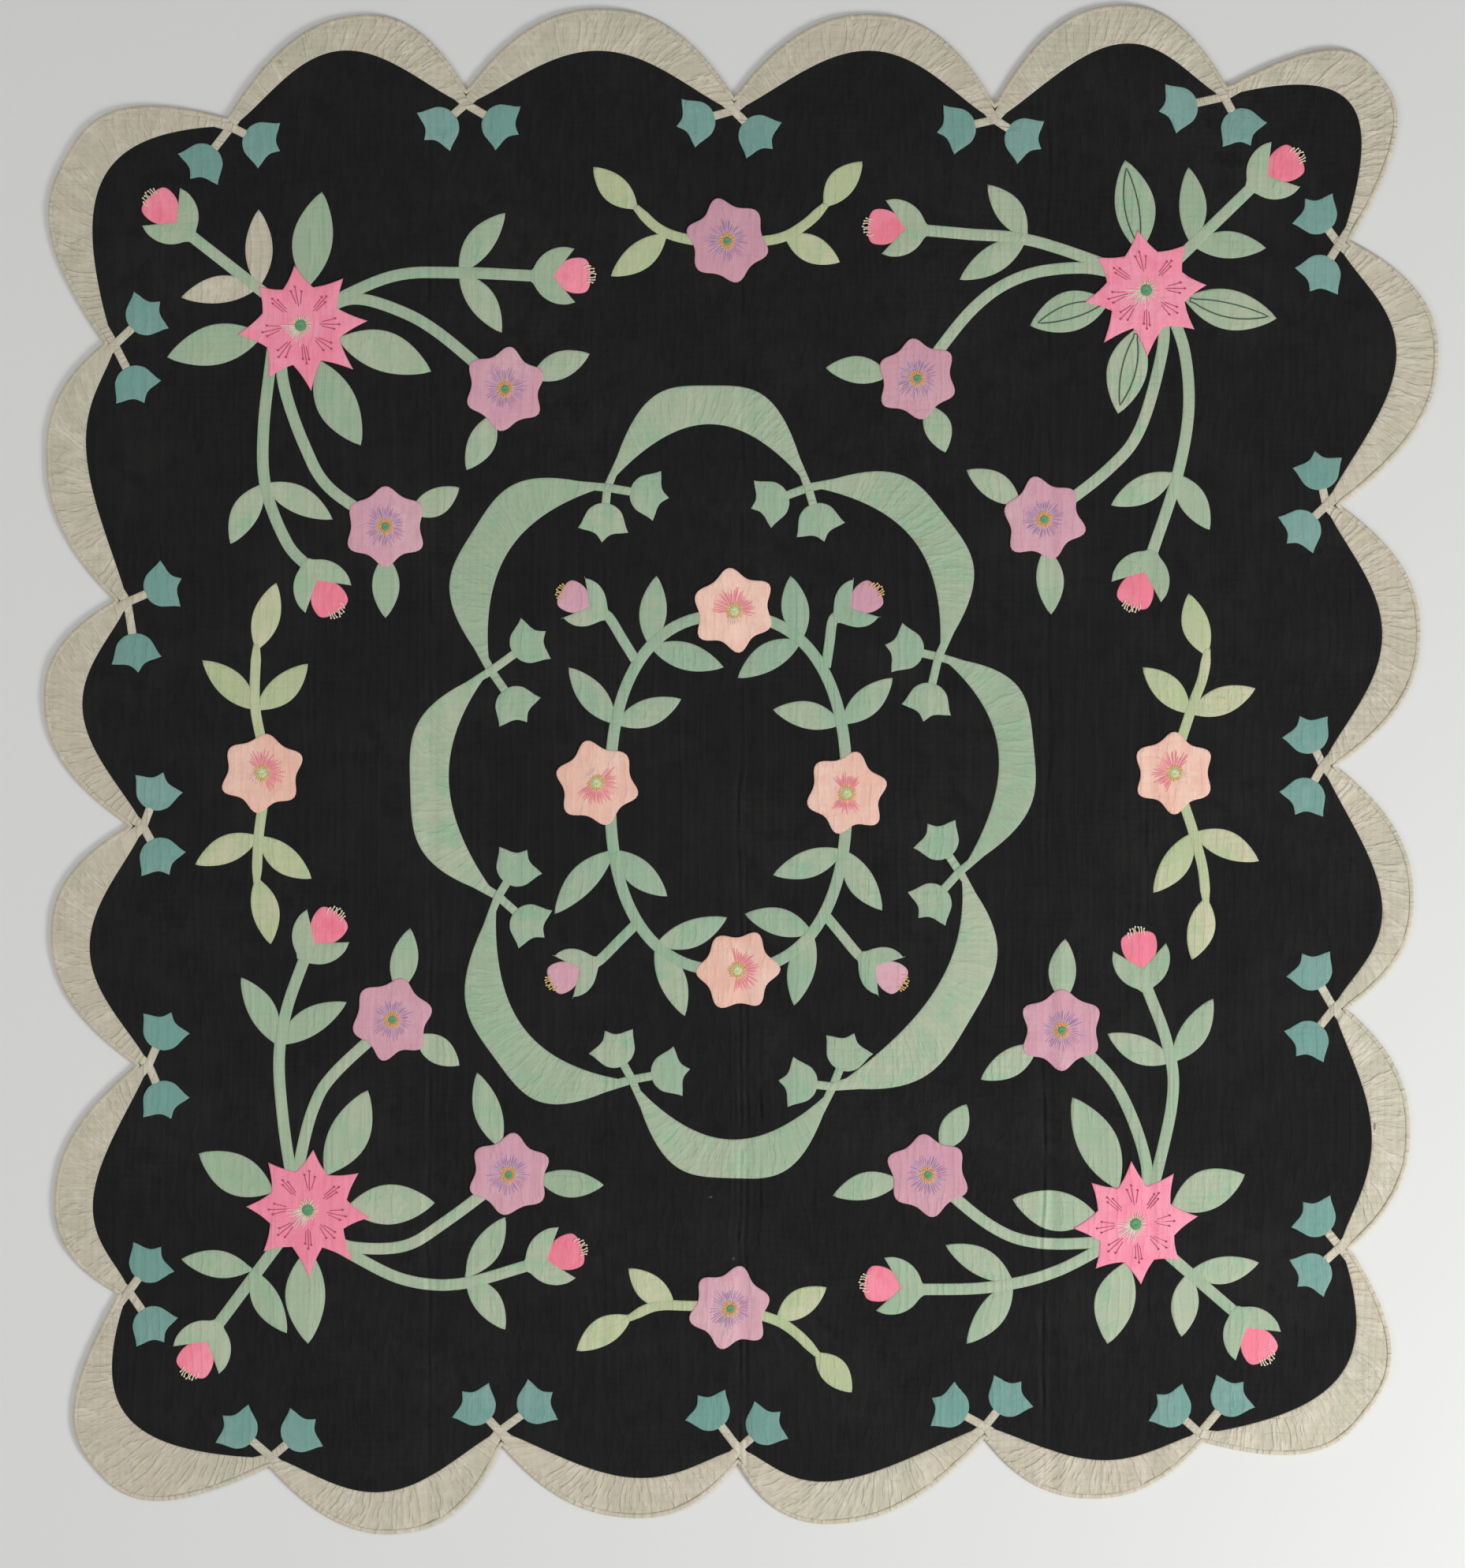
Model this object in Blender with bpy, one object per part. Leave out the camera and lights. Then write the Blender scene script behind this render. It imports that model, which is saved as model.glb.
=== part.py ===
"""Applique quilt, laid flat on the floor with its top edge towards +Y.

A black quilted ground cloth with twenty scallops carries three layers of applique:
the binding round its edge, the lower pieces (crescents, stems, leaves, tulips and buds),
and the upper pieces (six-lobed flowers and stars), which lie over the lower ones.

All sizes and places are in millimetres, seen from above, and become metres when a mesh is made.
"""
import math

import bpy
import bmesh
from mathutils import Vector

MM = 0.001

# Heights of the layers above the floor
GROUND_TOP = 4.0
LAYER_GAP = 0.3
LOWER_THICKNESS = 1.1
UPPER_THICKNESS = 0.9
LOWER_BASE = GROUND_TOP + LAYER_GAP
LOWER_TOP = LOWER_BASE + LOWER_THICKNESS
UPPER_BASE = LOWER_TOP + LAYER_GAP
CROSSING_LIFT = LOWER_THICKNESS + LAYER_GAP + 0.1

# Binding: a strip folded over the edge of the ground cloth
BINDING_WIDTH = 4.5
BINDING_LIP = 0.8
BINDING_EDGE_HEIGHT = 4.4
BINDING_INNER_HEIGHT = 5.4

# Scalloped edge and its cream crescents
SCALLOP_STATIONS = (0.08, 0.17, 0.29, 0.42, 0.58, 0.71, 0.83, 0.92)
SCALLOP_ROUNDNESS = 2.3
CORNER_ROUNDNESS = 2.8
INNER_FLANK_POWER = 1.25
INNER_CORNER_POWER = 0.9
CROSSING_CLEARANCE = 0.3

# Medallion swags
SWAG_ROUNDNESS = 3.8
SWAG_INNER_POWER = 0.85

# Thin ends of crescents and swags
TIP_HALF_WIDTH = 6.0
TIP_RISE_BEFORE = 30.0
TIP_RISE_AFTER = 17.0

# Small pieces
STEM_WIDTH = 19.0
STEM_STEPS = 2
VINE_WIDTH = 19.0
LEAF_WIDTH = 38.0
BIG_LEAF_WIDTH = 56.0
BIG_LEAF_ROOT = 56.0
LEAF_STALK = 8.0
LEAF_STALK_WIDTH = 9.0
FLOWER_LEAF_ROOT = 44.0
FLOWER_LEAF_STALK = 54.0
FLOWER_RADIUS = 54.0
FLOWER_LOBE = 4.5
FLOWER_LOBES = 6
FLOWER_POINTS_PER_LOBE = 3
STAR_OUTER_RADIUS = 90.0
STAR_INNER_RADIUS = 58.0
STAR_POINTS = 8
HUB_RADIUS = 52.0
HUB_SIDES = 10
BUD_LENGTH = 60.0
PETAL_RADIUS = 24.0
PETAL_SIDES = 10
FLAT_ANGLE = 0.5

# Outlines along and across their own axis, from the stem outwards
TULIP_CUP = ((0.0, 6.5), (6.0, 17.0), (17.0, 27.0))
TULIP_TIPS = ((37.0, -34.0), (39.0, -15.0), (56.0, 0.0), (39.0, 15.0), (37.0, 34.0))
TULIP_HALF_HEIGHT = 28.0
TULIP_LEAST_REACH = 50.0
CALYX = ((-12.0, -8.0), (8.0, -24.0), (26.0, -36.0), (60.0, -38.0), (46.0, -16.0), (36.0, 0.0),
         (46.0, 16.0), (60.0, 38.0), (26.0, 36.0), (8.0, 24.0), (-12.0, 8.0))
LEAF_PROFILE = ((0.22, 0.66), (0.46, 1.0), (0.76, 0.66))

# Wreath vine: an oval a little squarer than an ellipse
VINE_CENTRE = (-18.0, -33.0)
VINE_HALF_WIDTH = 168.0
VINE_HALF_LENGTH = 252.0
VINE_SQUARENESS = 2.4
VINE_SEGMENTS = 28

# Fold creases that run down the cloth: place, half width, depth at the top and bottom edges
CREASE_COLUMNS = ("x", "half_width", "depth_top", "depth_bottom")
CREASES = (
    (-440, 14, 0.6, 1.8),
    (-195, 10, 0.2, 1.0),
    (5, 16, 0.8, 2.0),
    (440, 16, 1.2, 2.2),
    (580, 10, 0.2, 1.2),
)
CREASE_ROWS = (-900, -600, -300, 0, 300, 600, 900)

# Scallops, clockwise from the top left: each row starts at its notch and holds the crown after it
SCALLOP_COLUMNS = ("notch", "tulip_before", "tulip_after", "crown", "inner_crown", "corner")
SCALLOPS = (
    ((-730, 925), (-765, 860), (-680, 890), (-552, 1070), (-570, 1020), False),
    ((-390, 965), (-425, 915), (-340, 915), (-195, 1080), (-200, 1020), False),
    ((-10, 955), (-65, 920), (20, 905), (185, 1072), (185, 1020), False),
    ((360, 945), (305, 910), (395, 900), (528, 1085), (540, 1030), False),
    ((690, 970), (620, 940), (710, 910), (907, 986), (865, 945), True),
    ((865, 750), (817, 788), (822, 702), (990, 580), (930, 585), False),
    ((850, 375), (820, 425), (810, 355), (965, 190), (910, 190), False),
    ((845, 5), (805, 50), (800, -40), (955, -175), (910, -195), False),
    ((860, -340), (810, -285), (805, -385), (950, -510), (895, -520), False),
    ((865, -680), (815, -635), (810, -715), (890, -912), (850, -860), True),
    ((655, -955), (695, -890), (610, -905), (495, -1035), (510, -980), False),
    ((345, -950), (380, -890), (295, -905), (145, -1070), (130, -1010), False),
    ((-5, -985), (35, -930), (-45, -910), (-165, -1062), (-155, -1005), False),
    ((-340, -960), (-290, -900), (-375, -905), (-485, -1085), (-505, -1025), False),
    ((-670, -990), (-625, -940), (-715, -935), (-915, -995), (-870, -920), True),
    ((-885, -745), (-835, -790), (-840, -700), (-975, -600), (-920, -610), False),
    ((-860, -420), (-820, -470), (-820, -370), (-980, -240), (-925, -255), False),
    ((-870, -80), (-825, -125), (-830, -30), (-990, 90), (-935, 85), False),
    ((-890, 240), (-860, 165), (-820, 260), (-987, 435), (-930, 455), False),
    ((-905, 605), (-860, 545), (-845, 645), (-960, 868), (-905, 840), True),
)

# Swags of the medallion, clockwise from the top: each row starts at its crossing
SWAG_COLUMNS = ("name", "crossing", "tulip_before", "tulip_after", "crown", "inner_crown")
SWAGS = (
    ("top", (-190, 400), (-195, 350), (-130, 390), (-45, 545), (-45, 490)),
    ("top_right", (95, 400), (40, 380), (110, 350), (290, 360), (245, 325)),
    ("right", (280, 160), (235, 170), (265, 95), (415, 35), (365, 25)),
    ("bottom_right", (310, -145), (280, -100), (270, -190), (325, -355), (280, -305)),
    ("bottom", (130, -450), (150, -400), (85, -445), (-15, -580), (-15, -525)),
    ("bottom_left", (-155, -440), (-100, -430), (-180, -395), (-350, -410), (-310, -365)),
    ("left", (-345, -180), (-300, -220), (-320, -140), (-470, -25), (-415, -15)),
    ("top_left", (-355, 140), (-320, 90), (-300, 180), (-380, 340), (-330, 310)),
)

# Corner sprays: stem routes, leaf pairs (joint, tip, tip), buds (foot, petal centre)
SPRAYS = {
    "top_left": {
        "star": (-625, 630), "turn": 5,
        "big_leaves": ((-595, 820), (-440, 565), (-540, 460), (-815, 585)),
        "stems": (((-650, 655), (-780, 755)),
                  ((-600, 655), (-495, 700), (-400, 705), (-300, 700)),
                  ((-600, 650), (-550, 668), (-490, 653), (-430, 620), (-335, 540)),
                  ((-665, 600), (-678, 485), (-675, 400), (-645, 322), (-615, 290)),
                  ((-655, 600), (-648, 540), (-620, 460), (-585, 400), (-505, 345))),
        "pairs": (((-685, 685), (-685, 795), (-795, 670)),
                  ((-400, 705), (-335, 790), (-340, 620)),
                  ((-678, 405), (-725, 320), (-580, 355))),
        "buds": (((-780, 755), (-825, 800)), ((-300, 700), (-230, 700)), ((-615, 290), (-585, 240))),
        "flowers": (((-335, 540), (-215, 590), (-390, 425)), ((-505, 345), (-400, 400), (-505, 215))),
    },
    "top_right": {
        "star": (575, 680), "turn": 4,
        "big_leaves": ((545, 865), (760, 640), (410, 630), (535, 505)),
        "stems": (((600, 705), (720, 825)),
                  ((550, 705), (415, 750), (320, 760), (265, 765)),
                  ((550, 700), (483, 712), (400, 700), (330, 655), (250, 555)),
                  ((610, 650), (630, 590), (635, 507), (618, 413), (585, 310)),
                  ((600, 650), (597, 590), (566, 483), (520, 425), (430, 355))),
        "pairs": (((640, 745), (635, 855), (745, 740)),
                  ((405, 755), (350, 830), (310, 695)),
                  ((615, 420), (525, 375), (665, 340))),
        "buds": (((720, 825), (775, 860)), ((265, 765), (200, 770)), ((585, 310), (560, 250))),
        "flowers": (((250, 555), (120, 570), (290, 450)), ((430, 355), (320, 425), (440, 220))),
    },
    "bottom_left": {
        "star": (-615, -625), "turn": 4,
        "big_leaves": ((-770, -545), (-530, -455), (-435, -615), (-615, -815)),
        "stems": (((-640, -650), (-745, -790)),
                  ((-635, -600), (-650, -500), (-656, -410), (-645, -340), (-620, -265)),
                  ((-630, -600), (-625, -548), (-607, -480), (-578, -432), (-495, -355)),
                  ((-590, -665), (-550, -690), (-478, -724), (-400, -730), (-305, -705)),
                  ((-590, -662), (-550, -678), (-478, -676), (-420, -642), (-330, -575))),
        "pairs": (((-695, -710), (-795, -695), (-645, -800)),
                  ((-658, -390), (-710, -295), (-560, -330)),
                  ((-390, -720), (-335, -635), (-335, -795))),
        "buds": (((-745, -790), (-775, -840)), ((-620, -265), (-585, -220)), ((-305, -705), (-245, -685))),
        "flowers": (((-495, -355), (-470, -225), (-400, -420)), ((-330, -575), (-375, -430), (-195, -590))),
    },
    "bottom_right": {
        "star": (560, -645), "turn": 6,
        "big_leaves": ((470, -465), (715, -575), (385, -610), (520, -815)),
        "stems": (((585, -670), (700, -765)),
                  ((580, -615), (612, -470), (605, -390), (575, -315)),
                  ((575, -615), (575, -560), (553, -490), (520, -432), (455, -370)),
                  ((530, -670), (440, -715), (350, -735), (260, -740)),
                  ((530, -670), (425, -672), (355, -648), (265, -575))),
        "pairs": (((635, -715), (735, -700), (625, -805)),
                  ((612, -415), (520, -375), (670, -325)),
                  ((385, -727), (290, -675), (320, -815))),
        "buds": (((700, -765), (735, -820)), ((575, -315), (565, -250)), ((260, -740), (195, -730))),
        "flowers": (((455, -370), (460, -240), (340, -440)), ((265, -575), (320, -475), (130, -605))),
    },
}

# Side sprays: one stem through a flower, and the root and tip of each leaf
SIDE_SPRAYS = {
    "top": {
        "flower": (-20, 750), "kind": "lavender",
        "stem": ((-152, 800), (-118, 768), (-78, 753), (-20, 748), (50, 753), (90, 773), (122, 803)),
        "leaves": (((-148, 796), (-210, 855)), ((-106, 760), (-185, 700)),
                   ((118, 799), (172, 863)), ((62, 757), (140, 720))),
    },
    "bottom": {
        "flower": (-15, -765), "kind": "lavender",
        "stem": ((-162, -780), (-123, -762), (-78, -761), (-15, -765), (45, -780), (78, -800), (110, -832)),
        "leaves": (((-156, -776), (-234, -825)), ((-95, -762), (-160, -708)),
                   ((106, -828), (157, -884)), ((50, -782), (121, -735))),
    },
    "left": {
        "flower": (-680, -5), "kind": "peach",
        "stem": ((-688, 178), (-690, 90), (-675, 0), (-685, -95), (-688, -162)),
        "leaves": (((-688, 85), (-765, 155)), ((-688, 85), (-615, 150)), ((-688, 170), (-660, 265)),
                   ((-685, -95), (-775, -135)), ((-685, -95), (-610, -155)), ((-688, -154), (-668, -248))),
    },
    "right": {
        "flower": (615, -5), "kind": "peach",
        "stem": ((662, 172), (655, 130), (637, 80), (618, 0), (642, -90), (655, -140), (660, -190)),
        "leaves": (((637, 80), (570, 145)), ((637, 80), (730, 115)), ((661, 162), (635, 250)),
                   ((642, -90), (735, -130)), ((642, -90), (585, -175)), ((660, -182), (640, -270))),
    },
}

# Centre wreath: leaf pairs and buds that grow from the vine
WREATH_PAIRS = (
    ((-120, 170), (-120, 275), (-25, 145)),
    ((85, 175), (70, 275), (-5, 130)),
    ((-180, 70), (-245, 145), (-85, 100)),
    ((145, 65), (215, 130), (45, 85)),
    ((-190, -120), (-265, -205), (-105, -180)),
    ((140, -120), (45, -150), (200, -200)),
    ((-120, -250), (-20, -210), (-80, -350)),
    ((95, -230), (5, -205), (75, -335)),
)
WREATH_BUDS = (
    ((-150, 155), (-195, 220), (-240, 245)),
    ((120, 145), (135, 215), (180, 245)),
    ((-145, -215), (-200, -270), (-255, -295)),
    ((118, -205), (170, -265), (215, -295)),
)
WREATH_FLOWERS = ((-10, 225), (-205, -15), (150, -30), (-5, -285))

BLACK = (0.016, 0.016, 0.017)
CREAM = (0.56, 0.51, 0.40)
SAGE = (0.35, 0.48, 0.33)
YELLOW_GREEN = (0.48, 0.57, 0.31)
MINT = (0.30, 0.47, 0.36)
LAVENDER = (0.61, 0.30, 0.40)
PEACH = (0.84, 0.51, 0.40)
PINK = (0.86, 0.25, 0.36)
CLOTH_ROUGHNESS = 0.9


def clear_scene():
    for item in list(bpy.data.objects):
        bpy.data.objects.remove(item)


def rows(columns, table):
    """Each row of a table as a dictionary keyed by its column names."""
    return [dict(zip(columns, row)) for row in table]


def bulge(start, end, crown, share, height):
    """A point between start and end, pushed towards the crown by a height from 0 to 1."""
    chord = start.lerp(end, share)
    return chord + (crown - start.lerp(end, 0.5)) * height


def round_height(share, roundness):
    return 1.0 - abs(2.0 * share - 1.0) ** roundness


def flank_height(share, power):
    return math.sin(math.pi * share) ** power


def inset(loop, distance, mitred=False):
    """A clockwise loop moved inwards at each point, by the mitre length where it is mitred."""
    moved = []
    for index, point in enumerate(loop):
        before = (point - loop[index - 1]).normalized()
        after = (loop[(index + 1) % len(loop)] - point).normalized()
        inward = Vector((before.y + after.y, -before.x - after.x)).normalized()
        across = inward.x * before.y - inward.y * before.x
        moved.append(point + inward * (distance / across if mitred else distance))
    return moved


def smooth_route(points, steps):
    """A curve through the points of a route, by Catmull-Rom spans of equal steps."""
    knots = [Vector(point) for point in points]
    knots = [knots[0] * 2 - knots[1]] + knots + [knots[-1] * 2 - knots[-2]]
    curve = []
    for span in range(1, len(knots) - 2):
        p0, p1, p2, p3 = knots[span - 1:span + 3]
        for step in range(steps):
            t = step / steps
            curve.append(0.5 * (2 * p1 + (p2 - p0) * t + (2 * p0 - 5 * p1 + 4 * p2 - p3) * t * t
                                + (3 * p1 - p0 - 3 * p2 + p3) * t ** 3))
    return curve + [knots[-2]]


def scallop_outline():
    """The clockwise outline of the quilt, with its notches first in each run of points."""
    scallops = rows(SCALLOP_COLUMNS, SCALLOPS)
    outline = []
    for index, scallop in enumerate(scallops):
        notch = Vector(scallop["notch"])
        next_notch = Vector(scallops[(index + 1) % len(scallops)]["notch"])
        roundness = CORNER_ROUNDNESS if scallop["corner"] else SCALLOP_ROUNDNESS
        outline.append(notch)
        for share in SCALLOP_STATIONS:
            height = round_height(share, roundness)
            outline.append(bulge(notch, next_notch, Vector(scallop["crown"]), share, height))
    return outline


def middle_of(loop):
    """The middle of the box round a loop, which becomes the origin."""
    xs = [point.x for point in loop]
    ys = [point.y for point in loop]
    return Vector(((min(xs) + max(xs)) / 2, (min(ys) + max(ys)) / 2))


OUTLINE = scallop_outline()
ORIGIN = middle_of(OUTLINE)


def metres(x, y, z):
    """A place on the quilt in the model's frame."""
    return Vector(((x - ORIGIN.x) * MM, (y - ORIGIN.y) * MM, z * MM))


def cloth_material(name, colour):
    material = bpy.data.materials.new(name)
    material.use_nodes = True
    shader = material.node_tree.nodes["Principled BSDF"]
    shader.inputs["Base Color"].default_value = (*colour, 1.0)
    shader.inputs["Roughness"].default_value = CLOTH_ROUGHNESS
    shader.inputs["Metallic"].default_value = 0.0
    return material


def add_object(name, mesh, colour):
    item = bpy.data.objects.new(name, mesh)
    bpy.context.scene.collection.objects.link(item)
    if not mesh.materials:
        mesh.materials.append(cloth_material(name + "_cloth", colour))
    return item


def thick_mesh(name, low, high, faces, plain_underside=False):
    """A closed mesh from a layer's lower and upper points and its faces, listed to look up."""
    count = len(low)
    edges = {(face[k - 1], face[k]) for face in faces for k in range(len(face))}
    rim = sorted((a, b) for a, b in edges if (b, a) not in edges)
    top = [tuple(index + count for index in face) for face in faces]
    sides = [(a, b, b + count, a + count) for a, b in rim]
    if plain_underside:
        following = dict(rim)
        loop = [rim[0][0]]
        while following[loop[-1]] != loop[0]:
            loop.append(following[loop[-1]])
        underside = [tuple(reversed(loop))]
    else:
        underside = [tuple(reversed(face)) for face in faces]
    mesh = bpy.data.meshes.new(name)
    mesh.from_pydata(list(low) + list(high), [], top + underside + sides)
    drop_loose_points(mesh)
    return mesh


def drop_loose_points(mesh):
    shape = bmesh.new()
    shape.from_mesh(mesh)
    loose = [vert for vert in shape.verts if not vert.link_faces]
    bmesh.ops.delete(shape, geom=loose, context="VERTS")
    shape.to_mesh(mesh)
    shape.free()


class Layer:
    """A layer of cloth being cut: points with their lift above the layer's base, and faces."""

    def __init__(self):
        self.points = []
        self.lifts = []
        self.faces = []

    def point(self, place, lift=0.0):
        self.points.append(Vector(place))
        self.lifts.append(lift)
        return len(self.points) - 1

    def polygon(self, places):
        self.faces.append([self.point(place) for place in places])
        return self

    def strip(self, stations, closed=False):
        """Quads between stations of (left point, right point, lift)."""
        pairs = [(self.point(left, lift), self.point(right, lift)) for left, right, lift in stations]
        following = pairs[1:] + ([pairs[0]] if closed else [])
        for (left, right), (next_left, next_right) in zip(pairs, following):
            self.faces.append([left, right, next_right, next_left])
        return pairs

    def mesh(self, name, base, thickness):
        low = [metres(p.x, p.y, base + lift) for p, lift in zip(self.points, self.lifts)]
        high = [metres(p.x, p.y, base + lift + thickness) for p, lift in zip(self.points, self.lifts)]
        return thick_mesh(name, low, high, self.faces)


def joined(name, layers, colour):
    """One solid from overlapping layers of the lower applique, by union."""
    first = add_object(name, layers[0].mesh(name, LOWER_BASE, LOWER_THICKNESS), colour)
    others = bpy.data.collections.new(name + "_cut_pieces")
    bpy.context.scene.collection.children.link(others)
    for index, layer in enumerate(layers[1:], start=2):
        piece_name = f"{name}_cut_{index:02d}"
        piece = bpy.data.objects.new(piece_name, layer.mesh(piece_name, LOWER_BASE, LOWER_THICKNESS))
        piece.hide_render = True
        piece.display_type = "WIRE"
        others.objects.link(piece)
    union = first.modifiers.new("Sewn together", "BOOLEAN")
    union.operation = "UNION"
    union.operand_type = "COLLECTION"
    union.collection = others
    union.solver = "EXACT"
    tidy = first.modifiers.new("Whole faces", "DECIMATE")
    tidy.decimate_type = "DISSOLVE"
    tidy.angle_limit = math.radians(FLAT_ANGLE)
    return first


def along(origin, direction, places):
    """Places given along and across a direction, turned onto the cloth."""
    left = Vector((-direction.y, direction.x))
    return [origin + direction * u + left * v for u, v in places]


def stem_layer(route, width=STEM_WIDTH, steps=STEM_STEPS):
    curve = smooth_route(route, steps) if len(route) > 2 else [Vector(point) for point in route]
    stations = []
    for index, point in enumerate(curve):
        ahead = curve[min(index + 1, len(curve) - 1)]
        behind = curve[max(index - 1, 0)]
        direction = (ahead - behind).normalized()
        left = Vector((-direction.y, direction.x)) * width / 2
        stations.append((point + left, point - left, 0.0))
    layer = Layer()
    layer.strip(stations)
    return layer


def leaf_layer(root, tip, width=LEAF_WIDTH, stalk_length=LEAF_STALK):
    root = Vector(root)
    tip = Vector(tip)
    length = (tip - root).length
    right_side = [(share * length, -half * width / 2) for share, half in LEAF_PROFILE]
    left_side = [(share * length, half * width / 2) for share, half in reversed(LEAF_PROFILE)]
    stalk = [(-stalk_length, LEAF_STALK_WIDTH / 2), (-stalk_length, -LEAF_STALK_WIDTH / 2)]
    outline = stalk + right_side + [(length, 0.0)] + left_side
    return Layer().polygon(along(root, (tip - root).normalized(), outline))


def round_layer(centre, radius, sides):
    turns = [2 * math.pi * k / sides for k in range(sides)]
    return Layer().polygon([centre + Vector((math.cos(a), math.sin(a))) * radius for a in turns])


def bud_layers(foot, petal_centre):
    petal_centre = Vector(petal_centre)
    direction = (petal_centre - Vector(foot)).normalized()
    calyx = Layer().polygon(along(petal_centre - direction * BUD_LENGTH, direction, CALYX))
    return [calyx, round_layer(petal_centre, PETAL_RADIUS, PETAL_SIDES)]


def towards(origin, target, distance):
    origin = Vector(origin)
    return origin + (Vector(target) - origin).normalized() * distance


def tulip_end(crossing, tulip_centre):
    """The cup stations of a tulip, outwards from its neck, and the points of its tips."""
    direction = (tulip_centre - crossing).normalized()
    reach = max((tulip_centre - crossing).length, TULIP_LEAST_REACH)
    neck = crossing + direction * (reach - TULIP_HALF_HEIGHT)
    left = along(neck, direction, [(u, v) for u, v in TULIP_CUP])
    right = along(neck, direction, [(u, -v) for u, v in TULIP_CUP])
    cup = [(a, b, 0.0) for a, b in zip(left, right)]
    return cup, along(neck, direction, TULIP_TIPS)


def tip_station(point, direction, lift):
    left = Vector((-direction.y, direction.x)) * TIP_HALF_WIDTH
    return point + left, point - left, lift


def crescent_layer(outer, inner, start, end):
    """A crescent with a tulip on each thin end: its start lies under, its end over, a neighbour."""
    start_crossing, start_tulip = start
    end_crossing, end_tulip = end
    body = [(a, b, 0.0) for a, b in zip(outer, inner)]
    first_middle = (outer[0] + inner[0]) / 2
    last_middle = (outer[-1] + inner[-1]) / 2
    start_cup, start_tips = tulip_end(start_crossing, start_tulip)
    end_cup, end_tips = tulip_end(end_crossing, end_tulip)
    inwards = ((start_crossing - start_tulip).normalized()
               + (first_middle - start_crossing).normalized()).normalized()
    outwards = ((end_tulip - end_crossing).normalized()
                + (end_crossing - last_middle).normalized()).normalized()
    rise = towards(end_crossing, last_middle, TIP_RISE_BEFORE)
    fall = towards(end_crossing, end_tulip, TIP_RISE_AFTER)
    stations = [(right, left, lift) for left, right, lift in reversed(start_cup)]
    stations.append(tip_station(start_crossing, inwards, 0.0))
    stations += body
    stations.append(tip_station(rise, (end_crossing - last_middle).normalized(), CROSSING_LIFT))
    stations.append(tip_station(end_crossing, outwards, CROSSING_LIFT))
    stations.append(tip_station(fall, (end_tulip - end_crossing).normalized(), CROSSING_LIFT))
    stations += end_cup
    layer = Layer()
    pairs = layer.strip(stations)
    start_points = [layer.point(place) for place in start_tips]
    end_points = [layer.point(place) for place in end_tips]
    layer.faces.append([pairs[0][1]] + [pairs[0][0]] + start_points)
    layer.faces.append([pairs[-1][0]] + [pairs[-1][1]] + end_points)
    return layer


def build_ground(edge):
    """The ground cloth, flat below, with soft creases pressed into its top."""
    creases = rows(CREASE_COLUMNS, CREASES)
    shape = bmesh.new()
    shape.faces.new([shape.verts.new((point.x, point.y, 0.0)) for point in reversed(edge)])
    cuts = [(Vector((x, 0, 0)), Vector((1, 0, 0))) for crease in creases
            for x in (crease["x"] - crease["half_width"], crease["x"], crease["x"] + crease["half_width"])]
    cuts += [(Vector((0, y, 0)), Vector((0, 1, 0))) for y in CREASE_ROWS]
    for place, normal in cuts:
        everything = shape.verts[:] + shape.edges[:] + shape.faces[:]
        bmesh.ops.bisect_plane(shape, geom=everything, plane_co=place, plane_no=normal, dist=0.001)
    shape.verts.index_update()
    flat = [(vert.co.x, vert.co.y) for vert in shape.verts]
    faces = [[vert.index for vert in face.verts] for face in shape.faces]
    shape.free()
    bottom, top = -edge_reach(edge), edge_reach(edge)

    def drop(x, y):
        for crease in creases:
            nearness = 1.0 - abs(x - crease["x"]) / crease["half_width"]
            if nearness > 0.0:
                share = (y - bottom) / (top - bottom)
                depth = crease["depth_bottom"] + (crease["depth_top"] - crease["depth_bottom"]) * share
                return depth * nearness
        return 0.0

    low = [metres(x, y, 0.0) for x, y in flat]
    high = [metres(x, y, GROUND_TOP - drop(x, y)) for x, y in flat]
    mesh = thick_mesh("quilt_ground", low, high, faces, plain_underside=True)
    return add_object("quilt_ground", mesh, BLACK)


def edge_reach(edge):
    return max(abs(point.y) for point in edge)


def build_binding(outline):
    """The strip round the edge, with four long faces: under, outside, over and inside."""
    section = ((BINDING_WIDTH, 0.0), (BINDING_LIP, 0.0), (0.0, BINDING_EDGE_HEIGHT),
               (BINDING_WIDTH, BINDING_INNER_HEIGHT))
    rings = []
    for distance, height in section:
        rings.append([metres(point.x, point.y, height) for point in inset(outline, distance)])
    count = len(outline)
    points = [point for ring in rings for point in ring]
    faces = []
    for side in range(len(section)):
        here = side * count
        beyond = (side + 1) % len(section) * count
        for k in range(count):
            ahead = (k + 1) % count
            faces.append((here + k, beyond + k, beyond + ahead, here + ahead))
    mesh = bpy.data.meshes.new("binding")
    mesh.from_pydata(points, [], faces)
    return add_object("binding", mesh, CREAM)


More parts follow.
